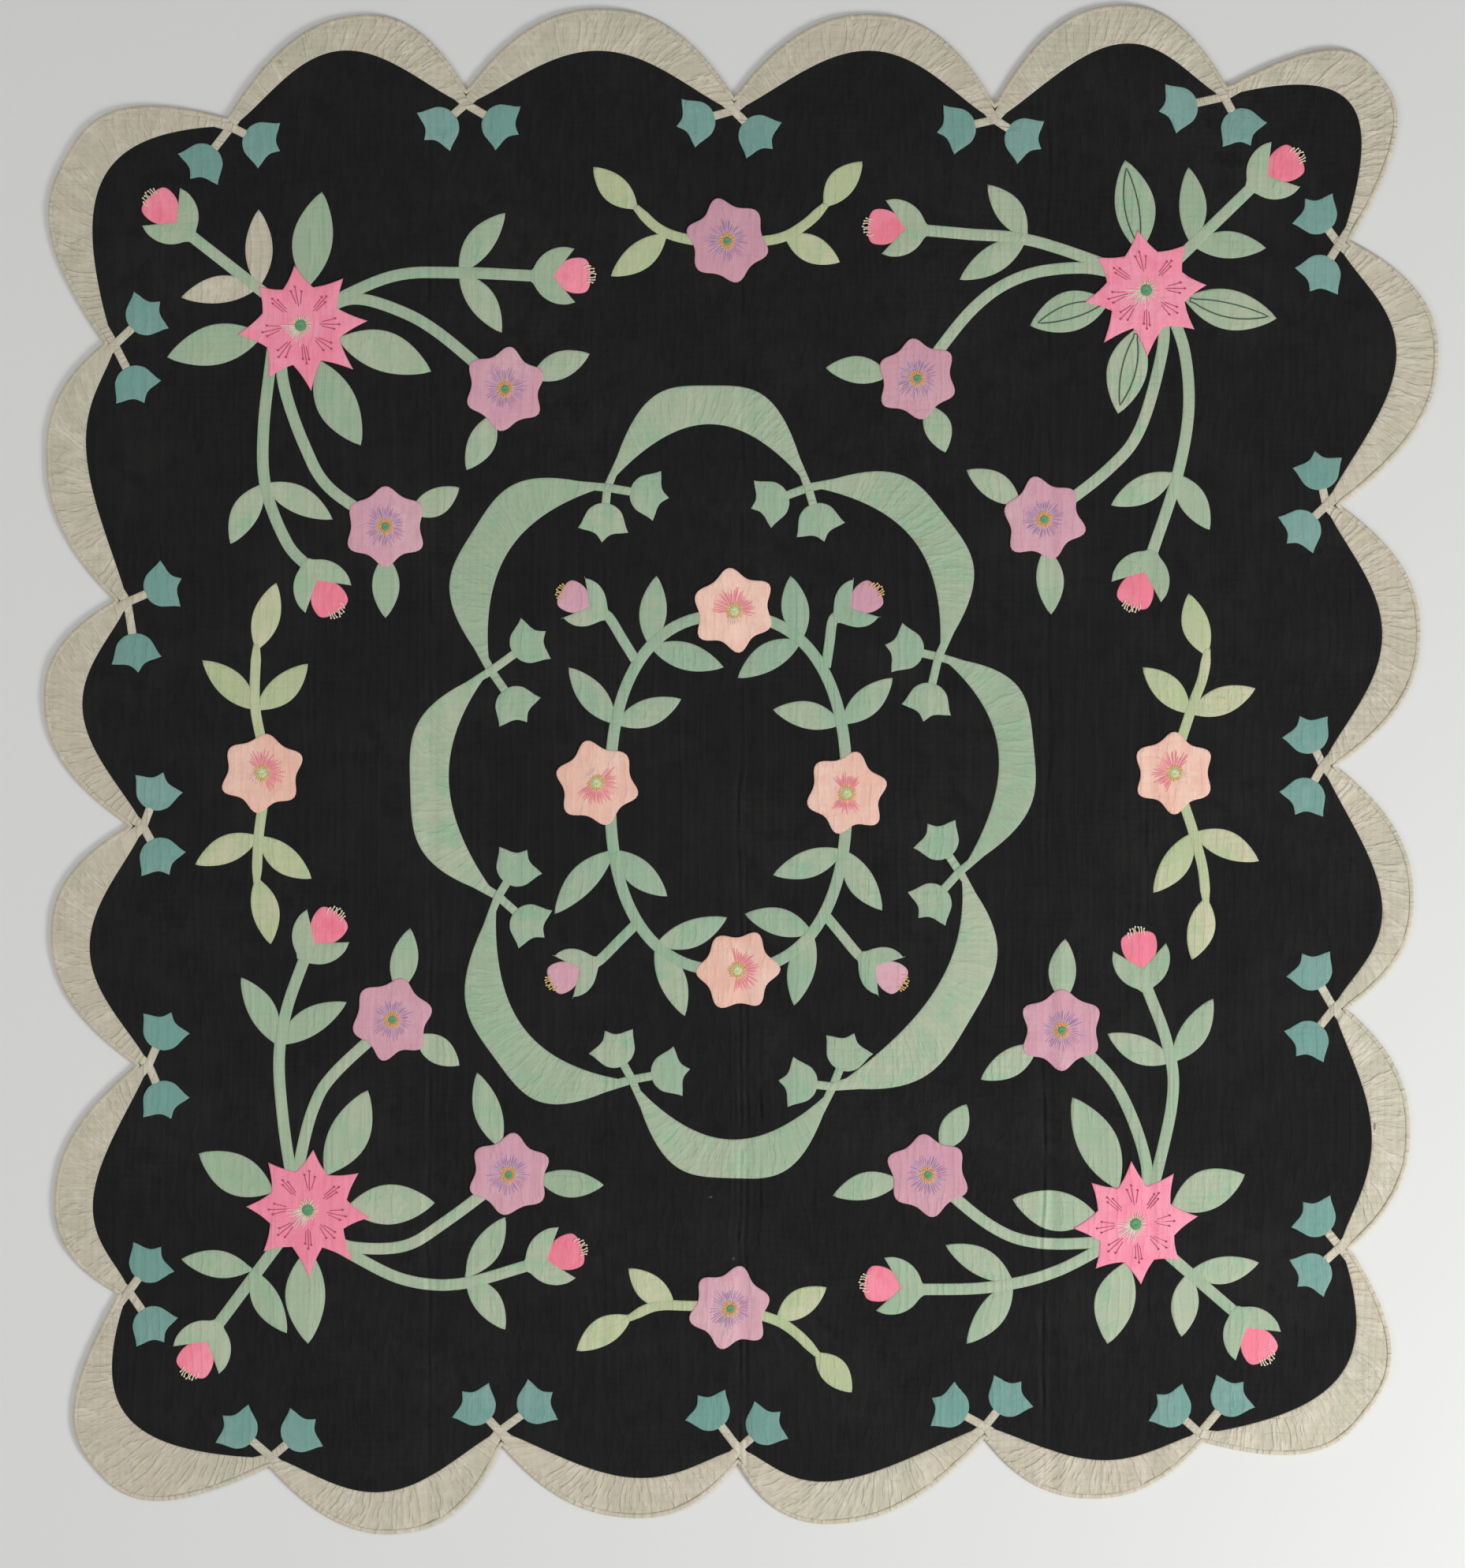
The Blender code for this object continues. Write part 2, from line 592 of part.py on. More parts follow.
def build_border(outline):
    """Twenty cream crescents inside the binding, each with two tulips."""
    scallops = rows(SCALLOP_COLUMNS, SCALLOPS)
    run = len(SCALLOP_STATIONS) + 1
    edge = inset(outline, BINDING_WIDTH + LAYER_GAP)
    crossing_depth = BINDING_WIDTH + LAYER_GAP + TIP_HALF_WIDTH + CROSSING_CLEARANCE
    crossings = inset(outline, crossing_depth, mitred=True)[::run]
    for index, scallop in enumerate(scallops):
        following = (index + 1) % len(scallops)
        start, end = crossings[index], crossings[following]
        inner_crown = Vector(scallop["inner_crown"])
        power = INNER_CORNER_POWER if scallop["corner"] else INNER_FLANK_POWER
        inner = [bulge(start, end, inner_crown, share, flank_height(share, power))
                 for share in SCALLOP_STATIONS]
        outer = edge[index * run + 1:(index + 1) * run]
        layer = crescent_layer(outer, inner,
                               (start, Vector(scallop["tulip_before"])),
                               (end, Vector(scallops[following]["tulip_after"])))
        name = f"border_crescent_{index + 1:02d}"
        add_object(name, layer.mesh(name, LOWER_BASE, LOWER_THICKNESS), CREAM)


def build_medallion():
    """Eight green swags in a ring, each with two tulips."""
    swags = rows(SWAG_COLUMNS, SWAGS)
    for index, swag in enumerate(swags):
        following = swags[(index + 1) % len(swags)]
        start, end = Vector(swag["crossing"]), Vector(following["crossing"])
        outer = [bulge(start, end, Vector(swag["crown"]), share, round_height(share, SWAG_ROUNDNESS))
                 for share in SCALLOP_STATIONS]
        inner_crown = Vector(swag["inner_crown"])
        inner = [bulge(start, end, inner_crown, share, flank_height(share, SWAG_INNER_POWER))
                 for share in SCALLOP_STATIONS]
        layer = crescent_layer(outer, inner, (start, Vector(swag["tulip_before"])),
                               (end, Vector(following["tulip_after"])))
        name = "swag_" + swag["name"]
        add_object(name, layer.mesh(name, LOWER_BASE, LOWER_THICKNESS), SAGE)


def pair_layers(pairs):
    return [leaf_layer(joint, tip) for joint, *tips in pairs for tip in tips]


def build_corner_sprays():
    for corner, spray in SPRAYS.items():
        star = Vector(spray["star"])
        layers = [round_layer(star, HUB_RADIUS, HUB_SIDES)]
        layers += [stem_layer(route) for route in spray["stems"]]
        layers += [leaf_layer(towards(star, tip, BIG_LEAF_ROOT), tip, BIG_LEAF_WIDTH)
                   for tip in spray["big_leaves"]]
        layers += pair_layers(spray["pairs"])
        layers += [leaf_layer(towards(centre, tip, FLOWER_LEAF_ROOT), tip, stalk_length=FLOWER_LEAF_STALK)
                   for centre, *tips in spray["flowers"] for tip in tips]
        for foot, petal_centre in spray["buds"]:
            layers += bud_layers(foot, petal_centre)
        joined("spray_" + corner, layers, SAGE)


def build_side_sprays():
    for side, spray in SIDE_SPRAYS.items():
        layers = [stem_layer(spray["stem"])]
        layers += [leaf_layer(root, tip) for root, tip in spray["leaves"]]
        joined("side_spray_" + side, layers, YELLOW_GREEN)


def vine_layer():
    stations = []
    for k in range(VINE_SEGMENTS):
        turn = -2 * math.pi * k / VINE_SEGMENTS
        reach = Vector((signed_power(math.cos(turn)), signed_power(math.sin(turn))))
        middle = Vector((reach.x * VINE_HALF_WIDTH, reach.y * VINE_HALF_LENGTH))
        outward = middle.normalized() * VINE_WIDTH / 2
        centre = Vector(VINE_CENTRE)
        stations.append((centre + middle + outward, centre + middle - outward, 0.0))
    layer = Layer()
    layer.strip(stations, closed=True)
    return layer


def signed_power(value):
    """A cosine or sine drawn out towards the corners of a squarer oval."""
    return math.copysign(abs(value) ** (2 / VINE_SQUARENESS), value)


def build_wreath():
    layers = [vine_layer()]
    layers += pair_layers(WREATH_PAIRS)
    for joint, foot, petal_centre in WREATH_BUDS:
        layers.append(stem_layer((joint, foot)))
        layers += bud_layers(foot, petal_centre)
    joined("wreath", layers, MINT)


def flower_mesh(name):
    count = FLOWER_LOBES * FLOWER_POINTS_PER_LOBE
    places = []
    for k in range(count):
        turn = 2 * math.pi * k / count
        radius = FLOWER_RADIUS + FLOWER_LOBE * math.cos(FLOWER_LOBES * turn)
        places.append(Vector((math.cos(turn), math.sin(turn))) * radius)
    return free_mesh(name, places)


def star_mesh(name):
    places = []
    for k in range(2 * STAR_POINTS):
        radius = STAR_INNER_RADIUS if k % 2 else STAR_OUTER_RADIUS
        turn = math.pi * k / STAR_POINTS
        places.append(Vector((math.cos(turn), math.sin(turn))) * radius)
    return free_mesh(name, places)


def free_mesh(name, places):
    """A flat piece with its middle at its own origin."""
    low = [Vector((place.x, place.y, 0.0)) * MM for place in places]
    high = [Vector((place.x, place.y, UPPER_THICKNESS)) * MM for place in places]
    return thick_mesh(name, low, high, [list(range(len(places)))])


def lay(name, mesh, colour, place, turn):
    """Lay a shared piece on the upper layer, turned by an angle in degrees."""
    item = add_object(name, mesh, colour)
    item.location = metres(place[0], place[1], UPPER_BASE)
    item.rotation_euler.z = math.radians(turn)
    return item


def build_flowers():
    lavender = flower_mesh("lavender_flower")
    peach = flower_mesh("peach_flower")
    blooms = [(centre, "lavender") for spray in SPRAYS.values() for centre, *_ in spray["flowers"]]
    blooms += [(spray["flower"], spray["kind"]) for spray in SIDE_SPRAYS.values()]
    blooms += [(centre, "peach") for centre in WREATH_FLOWERS]
    for index, (centre, kind) in enumerate(blooms, start=1):
        mesh, colour = (lavender, LAVENDER) if kind == "lavender" else (peach, PEACH)
        lay(f"flower_{index:02d}", mesh, colour, centre, 90 + 7 * (index % 5 - 2))


def build_stars():
    mesh = star_mesh("star")
    for corner, spray in SPRAYS.items():
        lay("star_" + corner, mesh, PINK, spray["star"], 90 + spray["turn"])


def build_quilt():
    clear_scene()
    build_ground(inset(OUTLINE, BINDING_WIDTH + LAYER_GAP))
    build_binding(OUTLINE)
    build_border(OUTLINE)
    build_medallion()
    build_wreath()
    build_corner_sprays()
    build_side_sprays()
    build_flowers()
    build_stars()


build_quilt()
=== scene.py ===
"""The looks of an applique quilt laid flat: black quilted cloth with a scalloped cream border,
green swags, sprays and a wreath, and flowers and stars worked with thread.

Places on the cloth are in millimetres, seen from above, and become metres in each mesh.
"""
import math

import bpy
import numpy as np
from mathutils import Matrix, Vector
from mathutils.geometry import delaunay_2d_cdt


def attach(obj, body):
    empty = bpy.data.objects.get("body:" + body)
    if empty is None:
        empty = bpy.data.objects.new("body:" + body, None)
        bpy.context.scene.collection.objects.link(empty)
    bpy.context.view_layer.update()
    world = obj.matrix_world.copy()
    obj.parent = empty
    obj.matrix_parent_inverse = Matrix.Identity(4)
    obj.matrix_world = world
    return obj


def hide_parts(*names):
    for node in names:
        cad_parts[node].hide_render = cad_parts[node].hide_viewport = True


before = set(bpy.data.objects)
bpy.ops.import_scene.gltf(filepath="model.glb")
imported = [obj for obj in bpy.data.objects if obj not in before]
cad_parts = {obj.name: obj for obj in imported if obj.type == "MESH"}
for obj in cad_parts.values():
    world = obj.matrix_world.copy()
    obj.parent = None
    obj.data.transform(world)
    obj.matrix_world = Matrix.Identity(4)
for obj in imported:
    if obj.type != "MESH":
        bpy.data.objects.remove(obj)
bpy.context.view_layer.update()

MM = 0.001
ORIGIN = (-0.366, -0.329)

# Thicknesses and lifts of the layers
GROUND_TOP = 4.0
CUT_THICKNESS = 1.0
STEM_LIFT = 0.35
PETAL_LIFT = 0.4
CALYX_LIFT = 0.8
TULIP_LIFT = 0.45
CROSSING_LIFT = 0.9
CROSSING_REACH = 34.0
UPPER_LIFT = 1.3
PUFF = 0.5
PUFF_REACH = 9.0
FOLD_WIDTH = 1.7
FOLD_START = 0.3
UNDERSIDE = 2.5
RIDGE_CELL = 5.0
RIDGE_HEIGHT = 0.55
QUILT_HALF_LENGTH = 1090.0

# Rows of points in a cut piece
EDGE_STEP = 5.0
FINE_SPACING = 4.5
GROUND_SPACING = 7.2
SHARE_STEPS = 44

# Scalloped edge and its cream crescents
SCALLOP_ROUNDNESS = 2.3
CORNER_ROUNDNESS = 2.8
INNER_FLANK_POWER = 1.25
INNER_CORNER_POWER = 0.9
GROUND_INSET = 3.0
CRESCENT_INSET = 3.4
CROSSING_INSET = 11.5
BINDING_STEP = 6.0
BINDING_SECTION_COLUMNS = ("inset", "height")
BINDING_SECTION = ((5.4, 0.0), (1.4, 0.0), (0.3, 1.0), (0.0, 2.4), (0.2, 4.0), (1.2, 5.2), (3.2, 6.0),
                   (5.4, 6.1), (6.6, 5.7), (6.9, 4.8), (6.4, 3.4))

# Medallion swags
SWAG_ROUNDNESS = 3.8
SWAG_INNER_POWER = 0.85

# Small pieces
TIP_HALF_WIDTH = 6.0
TIP_OVERLAP = 6.0
STEM_WIDTH = 16.5
END_TAPER = 20.0
VINE_WIDTH = 16.5
LEAF_WIDTH = 39.0
BIG_LEAF_WIDTH = 57.0
BIG_LEAF_ROOT = 56.0
LEAF_STALK = 1.0
LEAST_ROOT = 2.6
FLOWER_LEAF_ROOT = 40.0
FLOWER_RADIUS = 52.5
FLOWER_LOBE = 5.6
FLOWER_LOBES = 6
FLOWER_STEPS = 72
STAR_VALLEY = 57.0
STAR_HOLLOW = 0.035
LEAF_BOW = 0.035
BUD_LENGTH = 60.0
NECK_OVERLAP = 7.0
WREATH_BUD_SIZE = 0.88
WREATH_NECK = (7.0, -9.0)
TULIP_HALF_HEIGHT = 28.0
TULIP_LEAST_REACH = 50.0

# Wreath vine: an oval a little squarer than an ellipse
VINE_CENTRE = (-18.0, -33.0)
VINE_HALF_WIDTH = 168.0
VINE_HALF_LENGTH = 252.0
VINE_SQUARENESS = 2.4
VINE_STEPS = 96

# Fold creases that run down the cloth: place, half width, depth at the top and bottom edges
CREASE_COLUMNS = ("x", "half_width", "depth_top", "depth_bottom")
CREASES = (
    (-440, 15, 0.6, 1.5),
    (-195, 13, 0.2, 0.8),
    (5, 17, 0.8, 1.7),
    (440, 15, 0.9, 1.9),
    (580, 13, 0.2, 0.9),
)

# Places where the cloth is drawn up into upright puckers
PUCKER_COLUMNS = ("x", "y", "half_width", "half_length", "pitch", "height")
PUCKERS = (
    (5, -720, 75, 230, 24, 0.55),
    (-440, -800, 80, 230, 34, 0.7),
    (440, -760, 60, 260, 26, 0.4),
    (-60, 470, 70, 190, 30, 0.25),
    (-440, 300, 60, 320, 32, 0.25),
)

# Scallops, clockwise from the top left: each row starts at its notch and holds the crown after it
SCALLOP_COLUMNS = ("notch", "tulip_before", "tulip_after", "crown", "inner_crown", "corner")
SCALLOPS = (
    ((-730, 925), (-765, 860), (-680, 890), (-552, 1070), (-570, 1020), False),
    ((-390, 965), (-425, 915), (-340, 915), (-195, 1080), (-200, 1020), False),
    ((-10, 955), (-65, 920), (20, 905), (185, 1072), (185, 1020), False),
    ((360, 945), (305, 910), (395, 900), (528, 1085), (540, 1030), False),
    ((690, 970), (620, 940), (710, 910), (907, 986), (865, 945), True),
    ((865, 750), (817, 788), (822, 702), (990, 580), (930, 585), False),
    ((850, 375), (820, 425), (810, 355), (965, 190), (910, 190), False),
    ((845, 5), (805, 50), (800, -40), (955, -175), (910, -195), False),
    ((860, -340), (810, -285), (805, -385), (950, -510), (895, -520), False),
    ((865, -680), (815, -635), (810, -715), (890, -912), (850, -860), True),
    ((655, -955), (695, -890), (610, -905), (495, -1035), (510, -980), False),
    ((345, -950), (380, -890), (295, -905), (145, -1070), (130, -1010), False),
    ((-5, -985), (35, -930), (-45, -910), (-165, -1062), (-155, -1005), False),
    ((-340, -960), (-290, -900), (-375, -905), (-485, -1085), (-505, -1025), False),
    ((-670, -990), (-625, -940), (-715, -935), (-915, -995), (-870, -920), True),
    ((-885, -745), (-835, -790), (-840, -700), (-975, -600), (-920, -610), False),
    ((-860, -420), (-820, -470), (-820, -370), (-980, -240), (-925, -255), False),
    ((-870, -80), (-825, -125), (-830, -30), (-990, 90), (-935, 85), False),
    ((-890, 240), (-860, 165), (-820, 260), (-987, 435), (-930, 455), False),
    ((-905, 605), (-860, 545), (-845, 645), (-960, 868), (-905, 840), True),
)

# Swags of the medallion, clockwise from the top: each row starts at its crossing
SWAG_COLUMNS = ("name", "crossing", "tulip_before", "tulip_after", "crown", "inner_crown")
SWAGS = (
    ("top", (-190, 400), (-195, 350), (-130, 390), (-45, 545), (-45, 490)),
    ("top_right", (95, 400), (40, 380), (110, 350), (290, 360), (245, 325)),
    ("right", (280, 160), (235, 170), (265, 95), (415, 35), (365, 25)),
    ("bottom_right", (310, -145), (280, -100), (270, -190), (325, -355), (280, -305)),
    ("bottom", (130, -450), (150, -400), (85, -445), (-15, -580), (-15, -525)),
    ("bottom_left", (-155, -440), (-100, -430), (-180, -395), (-350, -410), (-310, -365)),
    ("left", (-345, -180), (-300, -220), (-320, -140), (-470, -25), (-415, -15)),
    ("top_left", (-355, 140), (-320, 90), (-300, 180), (-380, 340), (-330, 310)),
)

# Corner sprays: stem routes, leaf pairs (joint, tip, tip), buds (foot, petal centre)
SPRAYS = {
    "top_left": {
        "star": (-625, 630),
        "big_leaves": ((-595, 820), (-440, 565), (-540, 460), (-815, 585)),
        "stems": (((-650, 655), (-780, 755)),
                  ((-600, 655), (-495, 700), (-400, 705), (-300, 700)),
                  ((-600, 650), (-550, 668), (-490, 653), (-430, 620), (-335, 540)),
                  ((-665, 600), (-678, 485), (-675, 400), (-645, 322), (-615, 290)),
                  ((-655, 600), (-648, 540), (-620, 460), (-585, 400), (-505, 345))),
        "pairs": (((-685, 685), (-685, 795), (-795, 670)),
                  ((-400, 705), (-335, 790), (-340, 620)),
                  ((-678, 405), (-725, 320), (-580, 355))),
        "buds": (((-780, 755), (-825, 800)), ((-300, 700), (-234, 701)), ((-615, 290), (-585, 240))),
        "flowers": (((-335, 540), (-215, 590), (-390, 425)), ((-505, 345), (-400, 400), (-505, 215))),
    },
    "top_right": {
        "star": (575, 680),
        "big_leaves": ((545, 865), (760, 640), (410, 630), (535, 505)),
        "stems": (((600, 705), (720, 825)),
                  ((550, 705), (415, 750), (320, 760), (265, 765)),
                  ((550, 700), (483, 712), (400, 700), (330, 655), (250, 555)),
                  ((610, 650), (630, 590), (635, 507), (618, 413), (585, 310)),
                  ((600, 650), (597, 590), (566, 483), (520, 425), (430, 355))),
        "pairs": (((640, 745), (635, 855), (745, 740)),
                  ((405, 755), (350, 830), (310, 695)),
                  ((615, 420), (525, 375), (665, 340))),
        "buds": (((720, 825), (775, 860)), ((265, 765), (200, 770)), ((585, 310), (560, 250))),
        "flowers": (((250, 555), (120, 570), (290, 450)), ((430, 355), (320, 425), (440, 220))),
    },
    "bottom_left": {
        "star": (-615, -625),
        "big_leaves": ((-770, -545), (-530, -455), (-435, -615), (-615, -815)),
        "stems": (((-640, -650), (-745, -790)),
                  ((-635, -600), (-650, -500), (-656, -410), (-645, -340), (-620, -265)),
                  ((-630, -600), (-625, -548), (-607, -480), (-578, -432), (-495, -355)),
                  ((-590, -665), (-550, -690), (-478, -724), (-400, -730), (-305, -705)),
                  ((-590, -662), (-550, -678), (-478, -676), (-420, -642), (-330, -575))),
        "pairs": (((-695, -710), (-795, -695), (-645, -800)),
                  ((-658, -390), (-710, -295), (-560, -330)),
                  ((-390, -720), (-335, -635), (-335, -795))),
        "buds": (((-745, -790), (-775, -840)), ((-620, -265), (-585, -220)), ((-305, -705), (-245, -685))),
        "flowers": (((-495, -355), (-470, -225), (-400, -420)), ((-330, -575), (-375, -430), (-195, -590))),
    },
    "bottom_right": {
        "star": (560, -645),
        "big_leaves": ((470, -465), (715, -575), (385, -610), (520, -815)),
        "stems": (((585, -670), (700, -765)),
                  ((580, -615), (612, -470), (605, -390), (575, -315)),
                  ((575, -615), (575, -560), (553, -490), (520, -432), (455, -370)),
                  ((530, -670), (440, -715), (350, -735), (260, -740)),
                  ((530, -670), (425, -672), (355, -648), (265, -575))),
        "pairs": (((635, -715), (735, -700), (625, -805)),
                  ((612, -415), (520, -375), (670, -325)),
                  ((385, -727), (290, -675), (320, -815))),
        "buds": (((700, -765), (735, -820)), ((575, -315), (565, -250)), ((260, -740), (195, -730))),
        "flowers": (((455, -370), (460, -240), (340, -440)), ((265, -575), (320, -475), (130, -605))),
    },
}

# The joint of the one pair of leaves that is cut from cream cloth
CREAM_PAIR = (-685, 685)

# Side sprays: one stem through a flower, and the root and tip of each leaf
SIDE_SPRAYS = {
    "top": {
        "flower": (-20, 750), "kind": "lavender",
        "stem": ((-152, 800), (-118, 768), (-78, 753), (-20, 748), (50, 753), (90, 773), (122, 803)),
        "leaves": (((-148, 796), (-210, 855)), ((-106, 760), (-185, 700)),
                   ((118, 799), (172, 863)), ((62, 757), (140, 720))),
    },
    "bottom": {
        "flower": (-15, -765), "kind": "lavender",
        "stem": ((-162, -780), (-123, -762), (-78, -761), (-15, -765), (45, -780), (78, -800), (110, -832)),
        "leaves": (((-156, -776), (-234, -825)), ((-95, -762), (-160, -708)),
                   ((106, -828), (157, -884)), ((50, -782), (121, -735))),
    },
    "left": {
        "flower": (-680, -5), "kind": "peach",
        "stem": ((-688, 178), (-690, 90), (-675, 0), (-685, -95), (-688, -162)),
        "leaves": (((-688, 85), (-765, 155)), ((-688, 85), (-615, 150)), ((-688, 170), (-660, 265)),
                   ((-685, -95), (-775, -135)), ((-685, -95), (-610, -155)), ((-688, -154), (-668, -248))),
    },
    "right": {
        "flower": (615, -5), "kind": "peach",
        "stem": ((662, 172), (655, 130), (637, 80), (618, 0), (642, -90), (655, -140), (660, -190)),
        "leaves": (((637, 80), (570, 145)), ((637, 80), (730, 115)), ((661, 162), (635, 250)),
                   ((642, -90), (735, -130)), ((642, -90), (585, -175)), ((660, -182), (640, -270))),
    },
}

# Centre wreath: leaf pairs and buds that grow from the vine
WREATH_PAIRS = (
    ((-120, 170), (-120, 275), (-25, 145)),
    ((85, 175), (70, 275), (-5, 130)),
    ((-180, 70), (-245, 145), (-85, 100)),
    ((145, 65), (215, 130), (45, 85)),
    ((-190, -120), (-265, -205), (-105, -180)),
    ((140, -120), (45, -150), (200, -200)),
    ((-120, -250), (-20, -210), (-80, -350)),
    ((95, -230), (5, -205), (75, -335)),
)
WREATH_BUDS = (
    ((-150, 155), (-195, 220), (-240, 245)),
    ((120, 145), (135, 215), (180, 245)),
    ((-145, -215), (-200, -270), (-255, -295)),
    ((118, -205), (170, -265), (215, -295)),
)
LOWEST_FLOWER = (-5, -285)
LOWEST_TURN = 2
WREATH_FLOWERS = ((-10, 225), (-205, -19), (150, -34), LOWEST_FLOWER)

# Star tips as they are cut: direction in degrees and distance from the middle
STAR_TIPS = {
    "top_left": ((96, 86), (48, 90), (4, 95), (-40, 97), (-81, 94), (-122, 88), (-172, 91), (137, 82)),
    "top_right": ((98, 87), (49, 85), (5, 86), (-39, 88), (-89, 94), (-129, 96), (-169, 90), (146, 84)),
    "bottom_left": ((85, 86), (36, 89), (-7, 88), (-49, 96), (-89, 96), (-137, 86), (177, 88), (130, 88)),
    "bottom_right": ((94, 90), (53, 90), (7, 89), (-40, 80), (-85, 86), (-132, 85), (-176, 89), (137, 86)),
}

# Runs of points along and across a piece's own axis, from the stem outwards
TULIP_SIDE = ((0.0, 5.0), (3.0, 14.0), (11.0, 23.5), (23.0, 29.0), (31.0, 32.0), (38.5, 36.0))
TULIP_NOTCH = ((38.5, 36.0), (40.5, 26.0), (42.0, 17.0), (46.0, 8.5), (56.0, 0.0))
CALYX_SIDE = ((-6.0, 6.5), (-1.0, 11.5), (4.0, 20.0), (10.0, 27.5), (19.0, 34.5), (31.0, 39.5),
              (45.0, 41.0), (58.0, 38.0))
WREATH_CALYX_SIDE = ((-6.0, 7.0), (0.0, 11.0), (8.0, 21.0), (18.0, 31.0), (32.0, 38.0), (46.0, 39.0),
                     (58.0, 36.0))
CALYX_MOUTH = ((58.0, 38.0), (49.0, 27.0), (39.0, 14.5), (28.0, 0.0))
PETAL_SIDE = ((20.0, 0.0), (35.0, 15.5), (50.0, 23.5), (63.0, 25.5), (73.0, 23.5), (78.0, 17.0),
              (80.0, 8.0), (80.0, 0.0))


def rows(columns, table):
    """Each row of a table as a dictionary keyed by its column names."""
    return [dict(zip(columns, row)) for row in table]


# Unevenness and the lie of the ground cloth


def soft_noise(x, y, cell_x, cell_y, seed):
    """Smooth unevenness from -1 to 1, in cells of the given size."""
    lattice = np.random.default_rng(seed).uniform(-1.0, 1.0, (97, 97))
    u, v = np.asarray(x) / cell_x, np.asarray(y) / cell_y
    i, j = np.floor(u).astype(int), np.floor(v).astype(int)
    s, t = ease(u - i), ease(v - j)
    low = lattice[i % 97, j % 97] * (1 - s) + lattice[(i + 1) % 97, j % 97] * s
    high = lattice[i % 97, (j + 1) % 97] * (1 - s) + lattice[(i + 1) % 97, (j + 1) % 97] * s
    return low * (1 - t) + high * t


def ease(share):
    share = np.clip(share, 0.0, 1.0)
    return share * share * (3.0 - 2.0 * share)


def ground_height(x, y):
    """Height of the ground cloth's top, with its creases, puckers and slow waves."""
    height = GROUND_TOP + 0.30 * soft_noise(x, y, 110, 90, 1) + 0.22 * soft_noise(x, y, 42, 38, 2)
    up_share = np.clip((np.asarray(y) / QUILT_HALF_LENGTH + 1.0) / 2.0, 0.0, 1.0)
    for crease in rows(CREASE_COLUMNS, CREASES):
        wander = 3.0 * soft_noise(y, 0.0 * y + crease["x"], 160, 50, 3)
        away = np.abs(x - crease["x"] - wander) / crease["half_width"]
        depth = crease["depth_bottom"] + (crease["depth_top"] - crease["depth_bottom"]) * up_share
        height -= depth * ease(1.0 - away)
        height += 0.35 * depth * ease(1.0 - np.abs(away - 1.25) / 0.9)
    for pucker in rows(PUCKER_COLUMNS, PUCKERS):
        across = (x - pucker["x"]) / pucker["half_width"]
        up = (y - pucker["y"]) / pucker["half_length"]
        wave = soft_noise(x, y, pucker["pitch"] / 2, 150, 4)
        height += pucker["height"] * wave * np.exp(-(across ** 2 + up ** 2))
    return height


# Curves and outlines


def with_next(loop):
    """Each member of a closed loop with the one after it."""
    return zip(loop, [*loop[1:], loop[0]])


def inward_of(before, after):
    """The inward direction at a point of a clockwise loop, between its two directions."""
    return Vector((before.y + after.y, -before.x - after.x)).normalized()


def bulge(start, end, crown, share, height):
    """A point between start and end, pushed towards the crown by a height from 0 to 1."""
    return start.lerp(end, share) + (crown - start.lerp(end, 0.5)) * height


def round_height(share, roundness):
    return 1.0 - abs(2.0 * share - 1.0) ** roundness


def flank_height(share, power):
    return math.sin(math.pi * share) ** power


def inset(loop, distance):
    """A clockwise loop moved inwards."""
    runs = [(beyond - point).normalized() for point, beyond in with_next(loop)]
    return [point + inward_of(runs[index - 1], runs[index]) * distance for index, point in enumerate(loop)]


def smooth_route(points, steps):
    """A curve through the points of a route, by Catmull-Rom spans of equal steps."""
    knots = [Vector(point) for point in points]
    knots = [knots[0] * 2 - knots[1]] + knots + [knots[-1] * 2 - knots[-2]]
    curve = []
    for span in range(1, len(knots) - 2):
        p0, p1, p2, p3 = knots[span - 1:span + 3]
        for step in range(steps):
            t = step / steps
            curve.append(0.5 * (2 * p1 + (p2 - p0) * t + (2 * p0 - 5 * p1 + 4 * p2 - p3) * t * t
                                + (3 * p1 - p0 - 3 * p2 + p3) * t ** 3))
    return curve + [knots[-2]]


def along(origin, direction, places):
    """Places given along and across a direction, turned onto the cloth."""
    left = Vector((-direction.y, direction.x))
    return [origin + direction * u + left * v for u, v in places]


def turned(angle, reach):
    return Vector((math.cos(angle), math.sin(angle))) * reach


def towards(origin, target, distance):
    origin = Vector(origin)
    return origin + (Vector(target) - origin).normalized() * distance


def two_sided(*runs):
    """A closed outline from smooth runs along its left side, mirrored onto its right side."""
    left = []
    for run in runs:
        left += smooth_route(run, 4)[:-1]
    left.append(Vector(runs[-1][-1]))
    right = [Vector((point.x, -point.y)) for point in reversed(left) if abs(point.y) > 0.01]
    return [tuple(point) for point in left + right]


SHARES = [(step + 1) / (SHARE_STEPS + 1) for step in range(SHARE_STEPS)]


def scallop_outline():
    """The clockwise outline of the quilt, with its notches first in each run of points."""
    outline = []
    for scallop, following in with_next(rows(SCALLOP_COLUMNS, SCALLOPS)):
        notch, next_notch, crown = (Vector(place) for place in
                                    (scallop["notch"], following["notch"], scallop["crown"]))
        roundness = CORNER_ROUNDNESS if scallop["corner"] else SCALLOP_ROUNDNESS
        outline += [notch] + [bulge(notch, next_notch, crown, share, round_height(share, roundness))
                              for share in SHARES]
    return outline


OUTLINE = scallop_outline()


